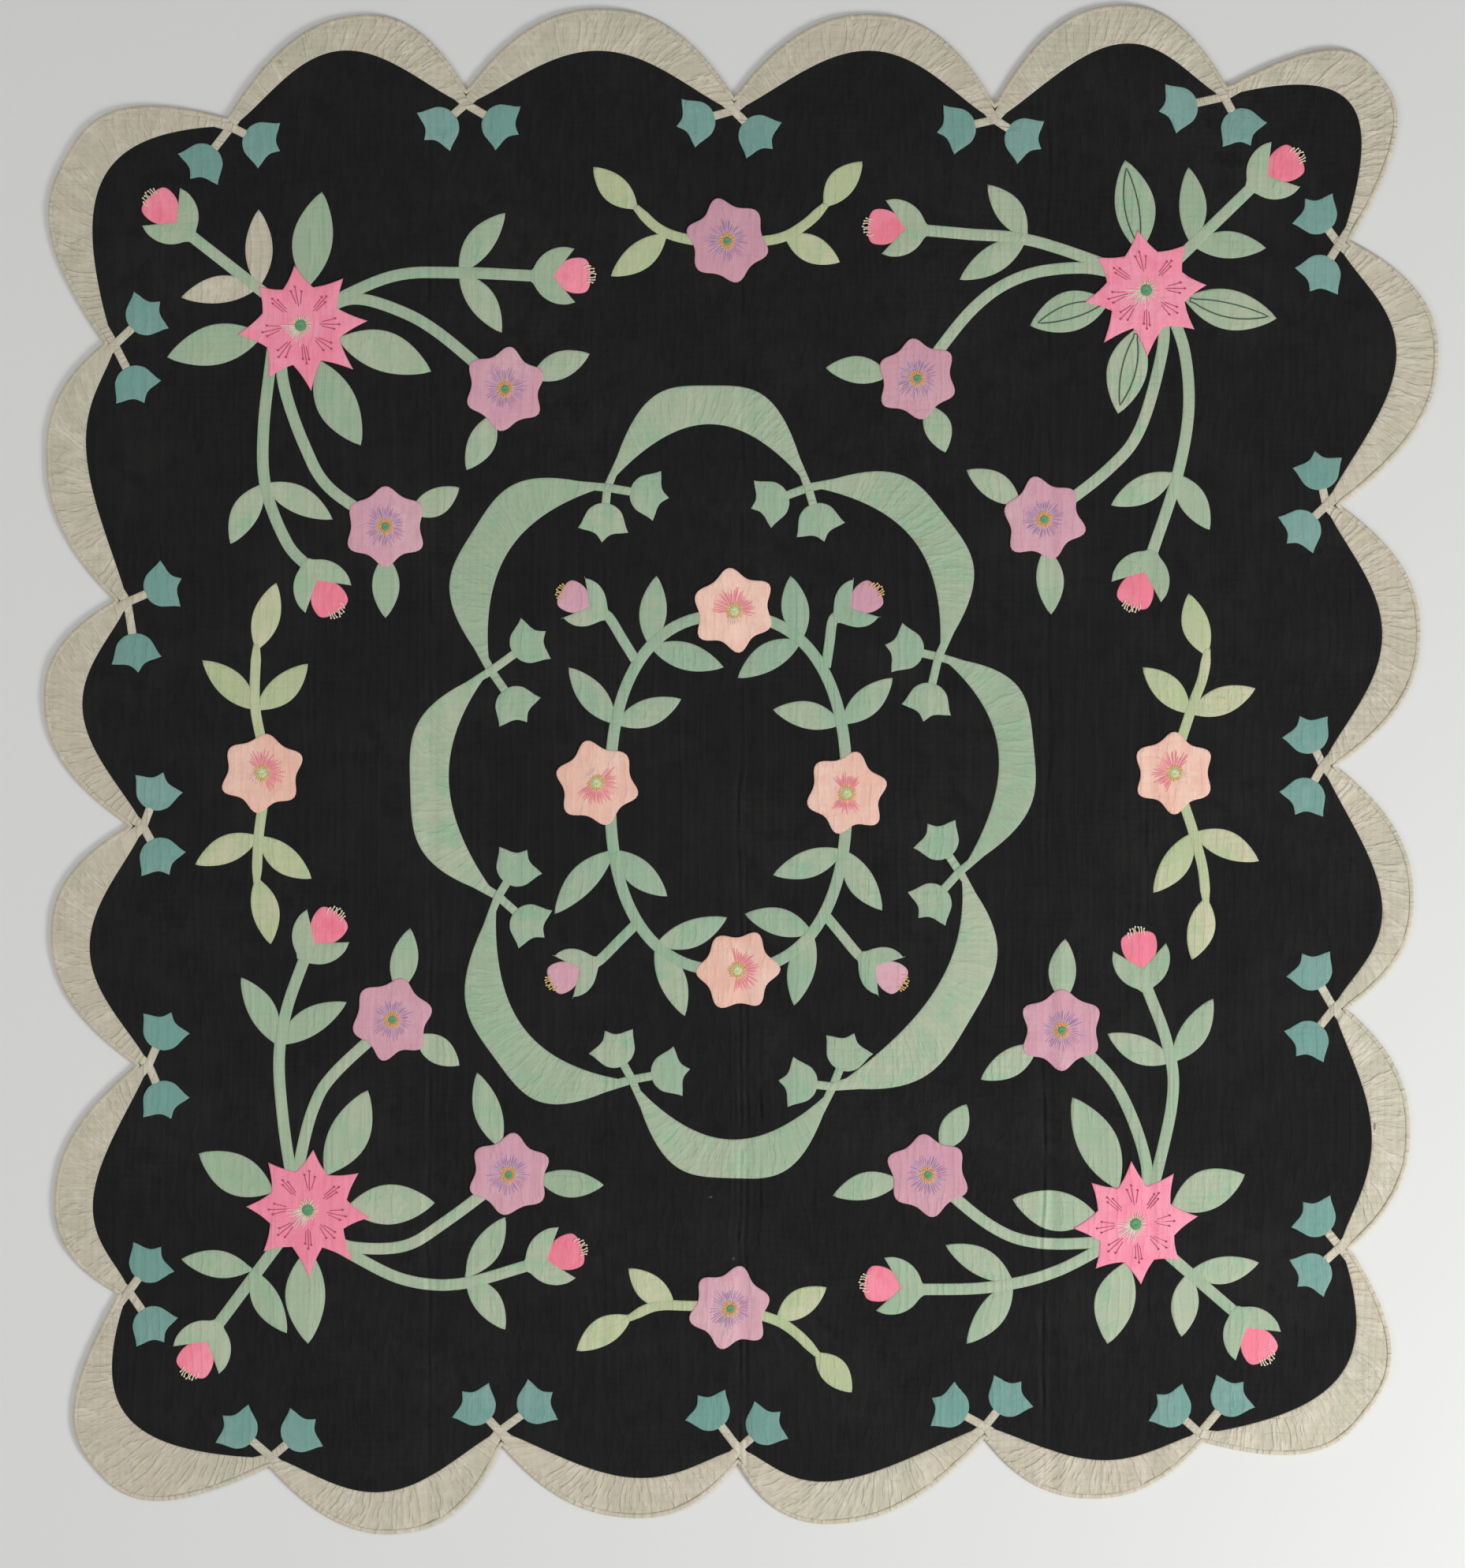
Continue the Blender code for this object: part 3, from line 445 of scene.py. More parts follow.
def strip_outline(centre, half_width, end_width=1.0):
    """The outline of a strip along a centre line, narrowed to a share of its width at its two ends."""
    left, right = [], []
    for index, point in enumerate(centre):
        near_end = min((point - centre[0]).length, (point - centre[-1]).length)
        share = end_width + (1.0 - end_width) * min(near_end / END_TAPER, 1.0)
        ahead = centre[min(index + 1, len(centre) - 1)]
        behind = centre[max(index - 1, 0)]
        direction = (ahead - behind).normalized()
        across = Vector((-direction.y, direction.x)) * half_width * share
        left.append(point + across)
        right.append(point - across)
    return left + right[::-1]


def leaf_outline(root, tip, width, stalk=LEAF_STALK, steps=16):
    """A pointed leaf, bowed a little to one side as it is cut by hand."""
    root, tip = Vector(root), Vector(tip)
    length = (tip - root).length
    bow = LEAF_BOW * length * math.sin(0.13 * root.x + 0.29 * tip.y)
    left, right = [(-stalk, LEAST_ROOT)], [(-stalk, -LEAST_ROOT)]
    for step in range(steps):
        share = step / steps
        half = 0.5 * width * math.sin(math.pi * share ** 0.95) ** 0.82
        middle = bow * math.sin(math.pi * share)
        half = max(half, LEAST_ROOT) if share < 0.5 else half
        left.append((share * length, middle + half))
        right.append((share * length, middle - half))
    places = left + [(length, 0.0)] + right[::-1]
    return along(root, (tip - root).normalized(), places)


def lobed_outline(centre, turn, seed):
    """A six-lobed flower, each lobe cut a little differently."""
    generator = np.random.default_rng(seed)
    sizes = FLOWER_RADIUS + generator.uniform(-2.5, 2.5, FLOWER_LOBES)
    depths = FLOWER_LOBE + generator.uniform(-1.2, 1.6, FLOWER_LOBES)
    places = []
    for step in range(FLOWER_STEPS):
        share = step / FLOWER_STEPS
        lobe = share * FLOWER_LOBES + 0.5
        index = int(lobe) % FLOWER_LOBES
        before, beyond = (index - 1) % FLOWER_LOBES, (index + 1) % FLOWER_LOBES
        mix, mix_back = (0.5 * float(ease(past * ((lobe % 1.0) * 2 - 1.0))) for past in (1.0, -1.0))
        size, depth = (lobes[index] * (1 - mix - mix_back) + lobes[beyond] * mix + lobes[before] * mix_back
                       for lobes in (sizes, depths))
        angle = 2 * math.pi * share + math.radians(turn)
        wave = math.cos(2 * math.pi * share * FLOWER_LOBES)
        radius = size + depth * (wave + 0.18 * wave * wave)
        places.append(Vector(centre) + turned(angle, radius))
    return places


def star_outline(centre, tips):
    """A star with slightly hollow sides between its uneven tips."""
    corners = []
    for (angle, reach), (next_angle, _) in with_next(sorted(tips, key=lambda tip: tip[0] % 360)):
        gap = (next_angle - angle) % 360
        corners += [(angle, reach), (angle + gap / 2, STAR_VALLEY)]
    places = []
    for corner, beyond in with_next([turned(math.radians(angle), reach) for angle, reach in corners]):
        for share in (0.0, 0.2, 0.4, 0.6, 0.8):
            hollow = 1.0 - STAR_HOLLOW * math.sin(math.pi * share)
            places.append(Vector(centre) + corner.lerp(beyond, share) * hollow)
    return places


def tulip_axis(crossing, tulip_centre):
    """The neck of a tulip and the direction in which it grows."""
    direction = (tulip_centre - crossing).normalized()
    reach = max((tulip_centre - crossing).length, TULIP_LEAST_REACH)
    return crossing + direction * (reach - TULIP_HALF_HEIGHT), direction


def crescent_outline(outer, inner, start, end):
    """A crescent whose thin ends cross their neighbours and run on to their tulips."""
    neck, direction = tulip_axis(*start)
    inwards = (-direction + ((outer[0] + inner[0]) / 2 - start[0]).normalized()).normalized()
    stations = [tip_station(neck + direction * TIP_OVERLAP, -direction), tip_station(start[0], inwards)]
    stations += list(zip(outer, inner))
    neck, direction = tulip_axis(*end)
    outwards = (direction + (end[0] - (outer[-1] + inner[-1]) / 2).normalized()).normalized()
    stations += [tip_station(end[0], outwards), tip_station(neck + direction * TIP_OVERLAP, direction)]
    return [left for left, _ in stations] + [right for _, right in reversed(stations)]


def tip_station(point, direction):
    left = Vector((-direction.y, direction.x)) * TIP_HALF_WIDTH
    return point + left, point - left


# Cutting and sewing


def as_points(outline, step=EDGE_STEP):
    """A closed outline as an array, turned anticlockwise, with no long or doubled steps."""
    places = np.array([tuple(point)[:2] for point in outline], float)
    following = np.roll(places, -1, axis=0)
    area = np.sum(places[:, 0] * following[:, 1] - following[:, 0] * places[:, 1])
    if area < 0:
        places = places[::-1]
    kept = []
    for index, place in enumerate(places):
        beyond = places[(index + 1) % len(places)]
        length = np.hypot(*(beyond - place))
        if length < 0.6:
            continue
        pieces = max(1, round(length / step))
        kept += [place + (beyond - place) * k / pieces for k in range(pieces)]
    return np.array(kept)


def edge_distance(places, outline):
    """How far each place lies from the nearest edge of a closed outline."""
    nearest = np.full(len(places), np.inf)
    for start, end in zip(outline, np.roll(outline, -1, axis=0)):
        run = end - start
        share = np.clip(((places - start) @ run) / (run @ run), 0.0, 1.0)
        away = places - start - share[:, None] * run
        nearest = np.minimum(nearest, np.hypot(away[:, 0], away[:, 1]))
    return nearest


def inside(places, outline):
    x, y = places.T
    within = np.zeros(len(places), bool)
    for (x1, y1), (x2, y2) in zip(outline, np.roll(outline, -1, axis=0)):
        if y1 != y2:
            within ^= ((y1 > y) != (y2 > y)) & (x < (x2 - x1) * (y - y1) / (y2 - y1) + x1)
    return within


def inward_normals(rim):
    run = np.roll(rim, -1, axis=0) - np.roll(rim, 1, axis=0)
    return np.stack((-run[:, 1], run[:, 0]), -1) / np.hypot(run[:, 0], run[:, 1])[:, None]


def fill_outline(outline, spacing):
    """Triangles that fill an outline, with two close rows of points behind its edge."""
    low, high = outline.min(axis=0), outline.max(axis=0)
    across = np.arange(low[0] + spacing * 0.5, high[0], spacing)
    up = np.arange(low[1] + spacing * 0.5, high[1], spacing)
    grid = np.stack(np.meshgrid(across, up), -1).reshape(-1, 2)
    grid = grid[inside(grid, outline)]
    grid = grid[edge_distance(grid, outline) > FOLD_WIDTH + spacing * 0.45]
    fold_rows = []
    for depth in (FOLD_WIDTH * 0.35, FOLD_WIDTH):
        row = outline + inward_normals(outline) * depth
        row = row[inside(row, outline)]
        fold_rows.append(row[edge_distance(row, outline) > depth * 0.8])
    places = np.vstack([outline] + fold_rows + [grid])
    cut = delaunay_2d_cdt([Vector(place) for place in places], [], [list(range(len(outline)))], 1, 1e-5)
    flat = np.array([tuple(point) for point in cut[0]])
    place_of = {source: made for made, sources in enumerate(cut[3]) for source in sources}
    rim = [place_of[index] for index in range(len(outline))]
    return flat, [tuple(face) for face in cut[2]], rim


class Piece:
    """One sewn piece, made of cut cloths that keep their finish, edge distance and tone."""

    def __init__(self, name):
        self.name = name
        self.places = []
        self.faces = []
        self.finishes = []
        self.edges = []
        self.tones = []
        self.runs = []

    def sew(self, outline, finish, lift=0.0, spacing=FINE_SPACING, grain=None,
            thickness=CUT_THICKNESS, underside=UNDERSIDE, puff=PUFF):
        """Add one cut of cloth, with its edge turned under and its middle a little full.

        Its grain gives the distance across its fine wrinkles, which run upright where it has none."""
        rim_places = as_points(outline)
        flat, faces, rim = fill_outline(rim_places, spacing)
        x, y = flat.T
        edge = edge_distance(flat, rim_places)
        fold = np.sqrt(1.0 - (1.0 - np.clip(edge / FOLD_WIDTH, 0.0, 1.0)) ** 2)
        height = ground_height(x, y) + (lift(x, y) if callable(lift) else lift)
        height = height + thickness * (FOLD_START + (1.0 - FOLD_START) * fold)
        height = height + puff * (1.0 - np.exp(-edge / PUFF_REACH))
        run = grain(x, y) if grain else x
        if grain:
            ridges = soft_noise(run, y, RIDGE_CELL, 60, 9)
            ridges += 0.5 * soft_noise(run, x, RIDGE_CELL * 2.2, 30, 10)
            height = height + RIDGE_HEIGHT * ridges * np.clip((edge - 0.5) / 4.0, 0.0, 1.0)
        first = len(self.places)
        self.places += np.column_stack((flat, height)).tolist()
        low = first + len(flat)
        self.places += [(flat[index][0], flat[index][1], underside) for index in rim]
        self.faces += [tuple(first + corner for corner in face) for face in faces]
        count = len(rim)
        for k in range(count):
            ahead = (k + 1) % count
            self.faces.append((first + rim[k], low + k, low + ahead, first + rim[ahead]))
        self.faces.append(tuple(low + k for k in reversed(range(count))))
        RIMS.append((finish, rim_line(rim_places, lift, thickness)))
        self.finishes += [finish] * (len(faces) + count + 1)
        self.edges += edge.tolist() + [0.0] * count
        self.runs += run.tolist() + run[rim].tolist()
        tone = float(soft_noise(x[0], y[0], 17, 17, 5))
        self.tones += [tone] * (len(flat) + count)
        return self

    def make(self, node=None):
        names = list(dict.fromkeys(self.finishes))
        mesh = bpy.data.meshes.new(self.name)
        mesh.from_pydata(in_metres(self.places), [], self.faces)
        for name in names:
            mesh.materials.append(CLOTHS[name])
        mesh.polygons.foreach_set("material_index", [names.index(finish) for finish in self.finishes])
        mesh.attributes.new("edge", "FLOAT", "POINT").data.foreach_set("value", self.edges)
        mesh.attributes.new("tone", "FLOAT", "POINT").data.foreach_set("value", self.tones)
        mesh.attributes.new("run", "FLOAT", "POINT").data.foreach_set("value", self.runs)
        mesh.shade_smooth()
        mesh.update()
        return add_piece(self.name, mesh, node)


def rim_line(rim, lift, thickness):
    """The line just inside a turned edge, as heights above the ground cloth."""
    places = rim + inward_normals(rim) * 0.9
    height = (lift(*places.T) if callable(lift) else lift) + thickness * 0.85 + np.zeros(len(rim))
    return np.column_stack((places, height))


def in_metres(places):
    return [((x - ORIGIN[0]) * MM, (y - ORIGIN[1]) * MM, z * MM) for x, y, z in places]


def put(name, data):
    """A new object in the scene."""
    made = bpy.data.objects.new(name, data)
    bpy.context.scene.collection.objects.link(made)
    return made


def add_piece(name, mesh, node=None):
    piece = put(name, mesh)
    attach(piece, "root")
    if node:
        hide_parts(node)
    return piece


RIMS = []


# Drawing node trees


class Value:
    """A socket's number or colour, whose arithmetic adds Math nodes to the graph."""

    def __init__(self, graph, socket):
        self.graph = graph
        self.socket = socket

    def math(self, operation, *others):
        return self.graph.out("ShaderNodeMath", dict(enumerate((self,) + others)), operation=operation)

    def __add__(self, other):
        return self.math("ADD", other)

    def __sub__(self, other):
        return self.math("SUBTRACT", other)

    def __mul__(self, other):
        return self.math("MULTIPLY", other)

    def __truediv__(self, other):
        return self.math("DIVIDE", other)

    def __pow__(self, other):
        return self.math("POWER", other)

    def __rsub__(self, other):
        return self.graph.out("ShaderNodeMath", {0: other, 1: self}, operation="SUBTRACT")

    __radd__ = __add__
    __rmul__ = __mul__

    def size(self):
        return self.math("ABSOLUTE")

    def sine(self):
        return self.math("SINE")

    def rise(self, low, high):
        """0 below low and 1 above high, with a soft step between them."""
        return self.soft_step(low, high, 0.0, 1.0)

    def fall(self, low, high):
        """1 below low and 0 above high, with a soft step between them."""
        return self.soft_step(low, high, 1.0, 0.0)

    def soft_step(self, low, high, first, last):
        inputs = {"Value": self, "From Min": low, "From Max": high, "To Min": first, "To Max": last}
        return self.graph.out("ShaderNodeMapRange", inputs, interpolation_type="SMOOTHSTEP", clamp=True)


class Graph:
    """A node tree being drawn: each node takes its settings first, and then its inputs."""

    def __init__(self, tree):
        self.tree = tree

    def node(self, kind, inputs=None, **settings):
        made = self.tree.nodes.new(kind)
        for name, value in settings.items():
            setattr(made, name, value)
        for key, value in (inputs or {}).items():
            if isinstance(value, Value):
                self.tree.links.new(value.socket, made.inputs[key])
            else:
                made.inputs[key].default_value = value
        return made

    def out(self, kind, inputs=None, output=0, **settings):
        return Value(self, self.node(kind, inputs, **settings).outputs[output])

    def split(self, vector):
        parts = self.node("ShaderNodeSeparateXYZ", {0: vector})
        return [Value(self, socket) for socket in parts.outputs]

    def noise(self, place, scale, detail, roughness=0.5):
        inputs = {"Vector": place, "Scale": scale, "Detail": detail, "Roughness": roughness}
        return self.out("ShaderNodeTexNoise", inputs)

    def pattern(self, place, name):
        """One of the noises in the table of them."""
        row = PATTERNS[name]
        if row["stretch"]:
            place = self.out("ShaderNodeMapping", {"Vector": place, "Scale": row["stretch"]})
        return self.noise(place, row["scale"], row["detail"], row["roughness"])

    def blend(self, first, second, share, mode="MIX"):
        inputs = {0: share, 6: first, 7: second}
        return self.out("ShaderNodeMix", inputs, output=2, data_type="RGBA", blend_type=mode)

    def shaded(self, colour, factor):
        return self.out("ShaderNodeVectorMath", {0: colour, "Scale": factor}, operation="SCALE")

    def attribute(self, name):
        return self.out("ShaderNodeAttribute", output="Fac", attribute_name=name)

    def across_and_up(self, place):
        x, y, _ = self.split(place)
        return x, y

    def feed(self, name, value):
        """Sets an input of the surface shader, or leads a changing value into it."""
        entry = self.tree.nodes["Principled BSDF"].inputs[name]
        if isinstance(value, Value):
            self.tree.links.new(value.socket, entry)
        else:
            entry.default_value = value


def new_material(name):
    material = bpy.data.materials.new(name)
    material.use_nodes = True
    return material, Graph(material.node_tree)


# Cloths and threads


QUILT_PITCH = 0.0096
WEAVE_PITCH = 0.0011
ROW_SWAY = 0.016
FOLD_SWAY = 0.022
WRINKLE_SWAY = 12.0
# The most that painted fold shade may take off a cloth's colour
DARKEST_FOLD = 0.85
# The shading columns paint light and shade into the colour: painted shade in the quilting rows, wrinkle
# valleys and fold lines, and painted highlight on wrinkle ridges and beside fold lines.
CLOTH_COLUMNS = ("name", "main", "faded", "mark", "fade_scale", "line_shade", "streak", "folds",
                 "quilting", "wrinkles", "roughness", "specular")
CLOTH_TABLE = (
    ("ground", (0.0110, 0.0110, 0.0112), (0.0148, 0.0146, 0.0142), (0.0088, 0.0088, 0.0095),
     5, 0.22, 0.22, 1.7, 0.30, 0.8, 0.90, 0.20),
    ("cream", (0.605, 0.545, 0.425), (0.560, 0.530, 0.410), (0.660, 0.605, 0.500),
     9, 0.07, 0.12, 0.5, 0.50, 1.5, 0.90, 0.08),
    ("sage", (0.390, 0.500, 0.350), (0.450, 0.515, 0.370), (0.325, 0.490, 0.325),
     10, 0.05, 0.075, 0.5, 0.32, 0.85, 0.90, 0.08),
    ("mint", (0.350, 0.485, 0.345), (0.435, 0.500, 0.360), (0.290, 0.475, 0.315),
     11, 0.05, 0.075, 0.5, 0.32, 0.85, 0.90, 0.08),
    ("yellow_green", (0.520, 0.575, 0.345), (0.610, 0.595, 0.410), (0.430, 0.560, 0.305),
     12, 0.05, 0.075, 0.5, 0.32, 0.85, 0.90, 0.08),
    ("teal", (0.185, 0.360, 0.315), (0.225, 0.385, 0.345), (0.160, 0.340, 0.300),
     14, 0.04, 0.07, 0.5, 0.18, 0.8, 0.90, 0.08),
    ("pink", (0.950, 0.295, 0.405), (0.950, 0.350, 0.460), (0.910, 0.250, 0.360),
     12, 0.03, 0.05, 0.0, 0.16, 0.8, 0.88, 0.08),
    ("bud_pink", (0.930, 0.245, 0.335), (0.950, 0.310, 0.400), (0.880, 0.200, 0.285),
     16, 0.03, 0.05, 0.0, 0.16, 0.8, 0.88, 0.08),
    ("lavender", (0.685, 0.365, 0.440), (0.725, 0.440, 0.490), (0.620, 0.320, 0.430),
     14, 0.04, 0.06, 0.0, 0.18, 0.8, 0.88, 0.08),
    ("peach", (0.890, 0.545, 0.435), (0.920, 0.630, 0.520), (0.850, 0.500, 0.400),
     13, 0.03, 0.06, 0.0, 0.18, 0.8, 0.88, 0.08),
)

# Fold lines painted into the cloth's colour, each with how dark its painted shade is and how pale the
# painted highlight on its sides is
FOLD_LINE_COLUMNS = ("x", "y", "half_length", "dark", "pale")
PAINTED_FOLD_LINES = (
    (430, -640, 440, 0.62, 0.25),
    (438, 400, 700, 0.25, 0.08),
    (0, -500, 640, 0.35, 0.25),
    (9, -560, 560, 0.35, 0.15),
    (28, -520, 190, 0.45, 0.05),
    (-8, -510, 180, 0.30, 0.10),
    (-16, -500, 150, 0.18, 0.05),
    (3, 600, 520, 0.22, 0.05),
    (-442, -560, 560, 0.20, 0.20),
    (-442, 500, 560, 0.18, 0.06),
    (-194, -300, 800, 0.14, 0.08),
    (580, -200, 900, 0.16, 0.06),
)

STAIN_COLUMNS = ("cloth", "x", "y", "width", "length", "strength", "colour")
STAINS = (
    ("cream", -683, 997, 9, 6, 0.55, (0.300, 0.200, 0.110)),
    ("cream", -655, 1004, 5, 4, 0.40, (0.330, 0.230, 0.130)),
    ("cream", 899, -506, 2.2, 7, 0.75, (0.120, 0.090, 0.060)),
    ("sage", 250, 322, 12, 9, 0.35, (0.330, 0.300, 0.180)),
    ("ground", -43, -607, 3, 2, 0.60, (0.120, 0.110, 0.100)),
    ("ground", -11, -694, 2, 3, 0.50, (0.120, 0.110, 0.100)),
    ("peach", -30, -345, 5, 4, 0.45, (0.520, 0.220, 0.130)),
)

THREAD_COLOURS = {
    "leaf_green": (0.115, 0.360, 0.170),
    "lime": (0.640, 0.720, 0.400),
    "gold": (0.780, 0.560, 0.200),
    "orange": (0.840, 0.420, 0.150),
    "white": (0.950, 0.730, 0.680),
    "violet": (0.470, 0.300, 0.530),
    "lilac": (0.700, 0.520, 0.680),
    "magenta": (1.000, 0.310, 0.430),
    "pale": (0.900, 0.740, 0.680),
    "rose": (0.440, 0.045, 0.130),
    "cream": (0.830, 0.740, 0.540),
    "bottle_green": (0.025, 0.070, 0.035),
    "sewing_green": (0.470, 0.560, 0.420),
    "sewing_cream": (0.420, 0.390, 0.320),
    "sewing_pink": (0.830, 0.500, 0.480),
}


# The noises in the cloth: cells to a metre, layers of detail, how rough those are, and any squeeze
PATTERN_COLUMNS = ("name", "scale", "detail", "roughness", "stretch")
PATTERN_TABLE = (
    ("row_sway_across", 7.0, 2.0, 0.5, None),
    ("row_sway_up", 8.0, 2.0, 0.5, (1.3, 0.8, 1.0)),
    ("drawn_rows", 6.0, 1.0, 0.5, None),
    ("mottle", 90.0, 2.0, 0.65, None),
    ("blotch", 28.0, 2.0, 0.6, None),
    ("fibre", 900.0, 1.0, 0.5, (1.0, 0.35, 1.0)),
    ("wrinkle_sway", 13.0, 1.0, 0.5, None),
    ("wrinkle_patches", 14.0, 1.0, 0.5, None),
    ("crinkles", 34.0, 1.0, 0.5, (0.45, 1.0, 1.0)),
    ("crinkle_patches", 21.0, 1.0, 0.5, None),
    ("dents", 75.0, 1.0, 0.5, (0.25, 1.0, 1.0)),
    ("fold_sway", 5.0, 2.0, 0.5, (0.05, 1.0, 1.0)),
    ("fold_breaks", 14.0, 2.0, 0.5, (0.3, 1.0, 1.0)),
    ("stain_edge", 160.0, 3.0, 0.5, None),
    ("strands", 700.0, 2.0, 0.5, None),
)
PATTERNS = {row["name"]: row for row in rows(PATTERN_COLUMNS, PATTERN_TABLE)}

# How closely wrinkles lie, in cells to a millimetre, along a cloth's run and in from its edge
BROAD_WRINKLES = (0.10, 0.03)
FINE_WRINKLES = (0.24, 0.05)

# A painted fold shade that would darken a cloth by less than this is left off it
FAINT_FOLD = 0.07


def quilt_hills(graph, place):
    """0 along the rows of quilting stitches and 1 in the middle of each small square."""
    x, y = graph.across_and_up(place)
    sway_x = (graph.pattern(place, "row_sway_across") - 0.5) * ROW_SWAY
    sway_y = (graph.pattern(place, "row_sway_up") - 0.5) * ROW_SWAY
    across = (x + sway_x) * (math.pi / QUILT_PITCH)
    up = (y + sway_y) * (math.pi / QUILT_PITCH)
    return (across.sine().size() ** 0.6) * (up.sine().size() ** 0.6)


def weave_height(graph, place):
    x, y = graph.across_and_up(place)
    across = (x * (2 * math.pi / WEAVE_PITCH)).sine()
    up = (y * (2 * math.pi / WEAVE_PITCH)).sine()
    return across * up


def fold_shade_and_highlight(graph, place, folds):
    """Below 1 in the line of each fold, where shade is painted, and above 1 on the cloth beside it, where a
    highlight is painted.
    """
    x, y = graph.across_and_up(place)
    x = x + (graph.pattern(place, "fold_sway") - 0.5) * FOLD_SWAY
    broken = graph.pattern(place, "fold_breaks").rise(0.30, 0.65)
    shade = 0.0
    for row in rows(FOLD_LINE_COLUMNS, PAINTED_FOLD_LINES):
        dark, pale = min(row["dark"] * folds, DARKEST_FOLD), row["pale"] * folds
        if dark < FAINT_FOLD:
            continue
        away = (x - (row["x"] - ORIGIN[0]) * MM).size()
        reach = (y - (row["y"] - ORIGIN[1]) * MM).size()
        strength = reach.fall(row["half_length"] * 0.0006, row["half_length"] * MM)
        # painted highlight beside the fold line, less painted shade in its middle
        line = away.fall(0.0050, 0.0120) * pale - away.fall(0.0010, 0.0038) * (dark + pale)
        shade = strength * line + shade
    return broken * shade + 1.0


def mark_cover(graph, place, row):
    """Where an old stain lies: 1 in its middle, fading out unevenly."""
    x, y = graph.across_and_up(place)
    across = (x - (row["x"] - ORIGIN[0]) * MM) / (row["width"] * MM)
    up = (y - (row["y"] - ORIGIN[1]) * MM) / (row["length"] * MM)
    ragged = (graph.pattern(place, "stain_edge") - 0.5) * 1.2
    return (across * across + up * up + ragged).fall(0.2, 1.0) * row["strength"]


def cloth_material(row):
    """Cotton cloth with rows of quilting, soft wrinkles, faded patches and mottling, with painted shade in
    its quilting rows, wrinkle valleys, fold lines and along its turned edges, and painted highlight on
    wrinkle ridges and beside fold lines.
    """
    material, graph = new_material(row["name"] + "_cotton")
    place = graph.out("ShaderNodeTexCoord", output="Object")
    hills = quilt_hills(graph, place)
    drawn = graph.pattern(place, "drawn_rows").rise(0.35, 0.70)
    tone = graph.attribute("tone")
    edge = graph.attribute("edge")
    fading = graph.noise(place, row["fade_scale"], 3.0, 0.6) + tone * 0.15
    mottle = graph.pattern(place, "mottle")
    blotch = graph.pattern(place, "blotch")
    colour = graph.blend((*row["main"], 1.0), (*row["faded"], 1.0), fading.rise(0.40, 0.66))
    marked = (blotch + (mottle - 0.5) * 0.4).rise(0.46, 0.72) * 0.75
    colour = graph.blend(colour, (*row["mark"], 1.0), marked)
    for stain in rows(STAIN_COLUMNS, STAINS):
        if stain["cloth"] == row["name"]:
            colour = graph.blend(colour, (*stain["colour"], 1.0), mark_cover(graph, place, stain))
    fibre = graph.pattern(place, "fibre")
    run = graph.attribute("run") + (graph.pattern(place, "wrinkle_sway") - 0.5) * WRINKLE_SWAY
    broad, fine = (graph.noise(graph.out("ShaderNodeCombineXYZ", {0: run * across, 1: edge * up}), 1.0, 2.0)
                   for across, up in (BROAD_WRINKLES, FINE_WRINKLES))
    patchy = graph.pattern(place, "wrinkle_patches").rise(0.36, 0.62)
    ridge = broad.rise(0.36, 0.64)
    valley = (broad - 0.5).size().fall(0.0, 0.13)
    crinkle = (graph.pattern(place, "crinkles") - 0.5).size().fall(0.0, 0.035)
    crinkle = crinkle * graph.pattern(place, "crinkle_patches").rise(0.42, 0.62)
    # painted shade in wrinkle valleys, crinkles and fine wrinkles, and painted highlight on wrinkle ridges
    streak = valley * (patchy * 0.5 + 0.1) + crinkle * 0.35 + fine.rise(0.44, 0.70) * 0.3 - ridge * 0.6
    # painted shade in the grooves along the quilting rows
    row_groove_shade = (1.0 - hills) ** 3.0 * (drawn * 0.8 + 0.25) * row["line_shade"]
    shade = 1.05 - row_groove_shade + (fibre - 0.5) * 0.08 + (mottle - 0.5) * 0.10 + (blotch - 0.5) * 0.10
    shade = shade - streak * row["streak"]
    # painted shade along turned edges, where the edge distance is small
    shade = shade * (1.0 + tone * 0.05) * (0.86 + edge.rise(0.0, 1.5) * 0.14)
    # painted shade in the fold lines and painted highlight beside them
    if row["folds"]:
        shade = shade * fold_shade_and_highlight(graph, place, row["folds"])
    graph.feed("Base Color", graph.shaded(colour, shade))
    height = hills * (drawn * 0.7 + 0.3) * (row["quilting"] * MM)
    folds = graph.pattern(place, "dents") * 0.4 + ridge * 0.8 - valley * (patchy * 0.3) - crinkle * 0.25
    height = height + folds * (row["wrinkles"] * MM)
    height = height + mottle * 0.0003 + weave_height(graph, place) * 0.00003
    graph.feed("Normal", graph.out("ShaderNodeBump", {"Strength": 1.0, "Distance": 1.0, "Height": height}))
    graph.feed("Roughness", row["roughness"] + (mottle - 0.5) * 0.08)
    graph.feed("Specular IOR Level", row["specular"])
    return material


def thread_material(name, colour):
    """Stranded cotton thread, a little glossier than the cloth."""
    material, graph = new_material(name + "_thread")
    place = graph.out("ShaderNodeTexCoord", output="Object")
    strands = graph.pattern(place, "strands")
    graph.feed("Base Color", graph.shaded(colour, 0.85 + strands * 0.30))
    bump = {"Strength": 0.6, "Distance": 1.0, "Height": strands * 0.0001}
    graph.feed("Normal", graph.out("ShaderNodeBump", bump))
    graph.feed("Roughness", 0.6)
    graph.feed("Sheen Weight", 0.2)
    return material


CLOTHS = {row["name"]: cloth_material(row) for row in rows(CLOTH_COLUMNS, CLOTH_TABLE)}
THREADS = {name: thread_material(name, colour) for name, colour in THREAD_COLOURS.items()}


# The quilt's pieces


def build_ground():
    piece = Piece("ground_cloth")
    piece.sew(inset(OUTLINE, GROUND_INSET), "ground", spacing=GROUND_SPACING, thickness=0.0,
              underside=0.0, puff=0.0)
    return piece.make("quilt_ground")


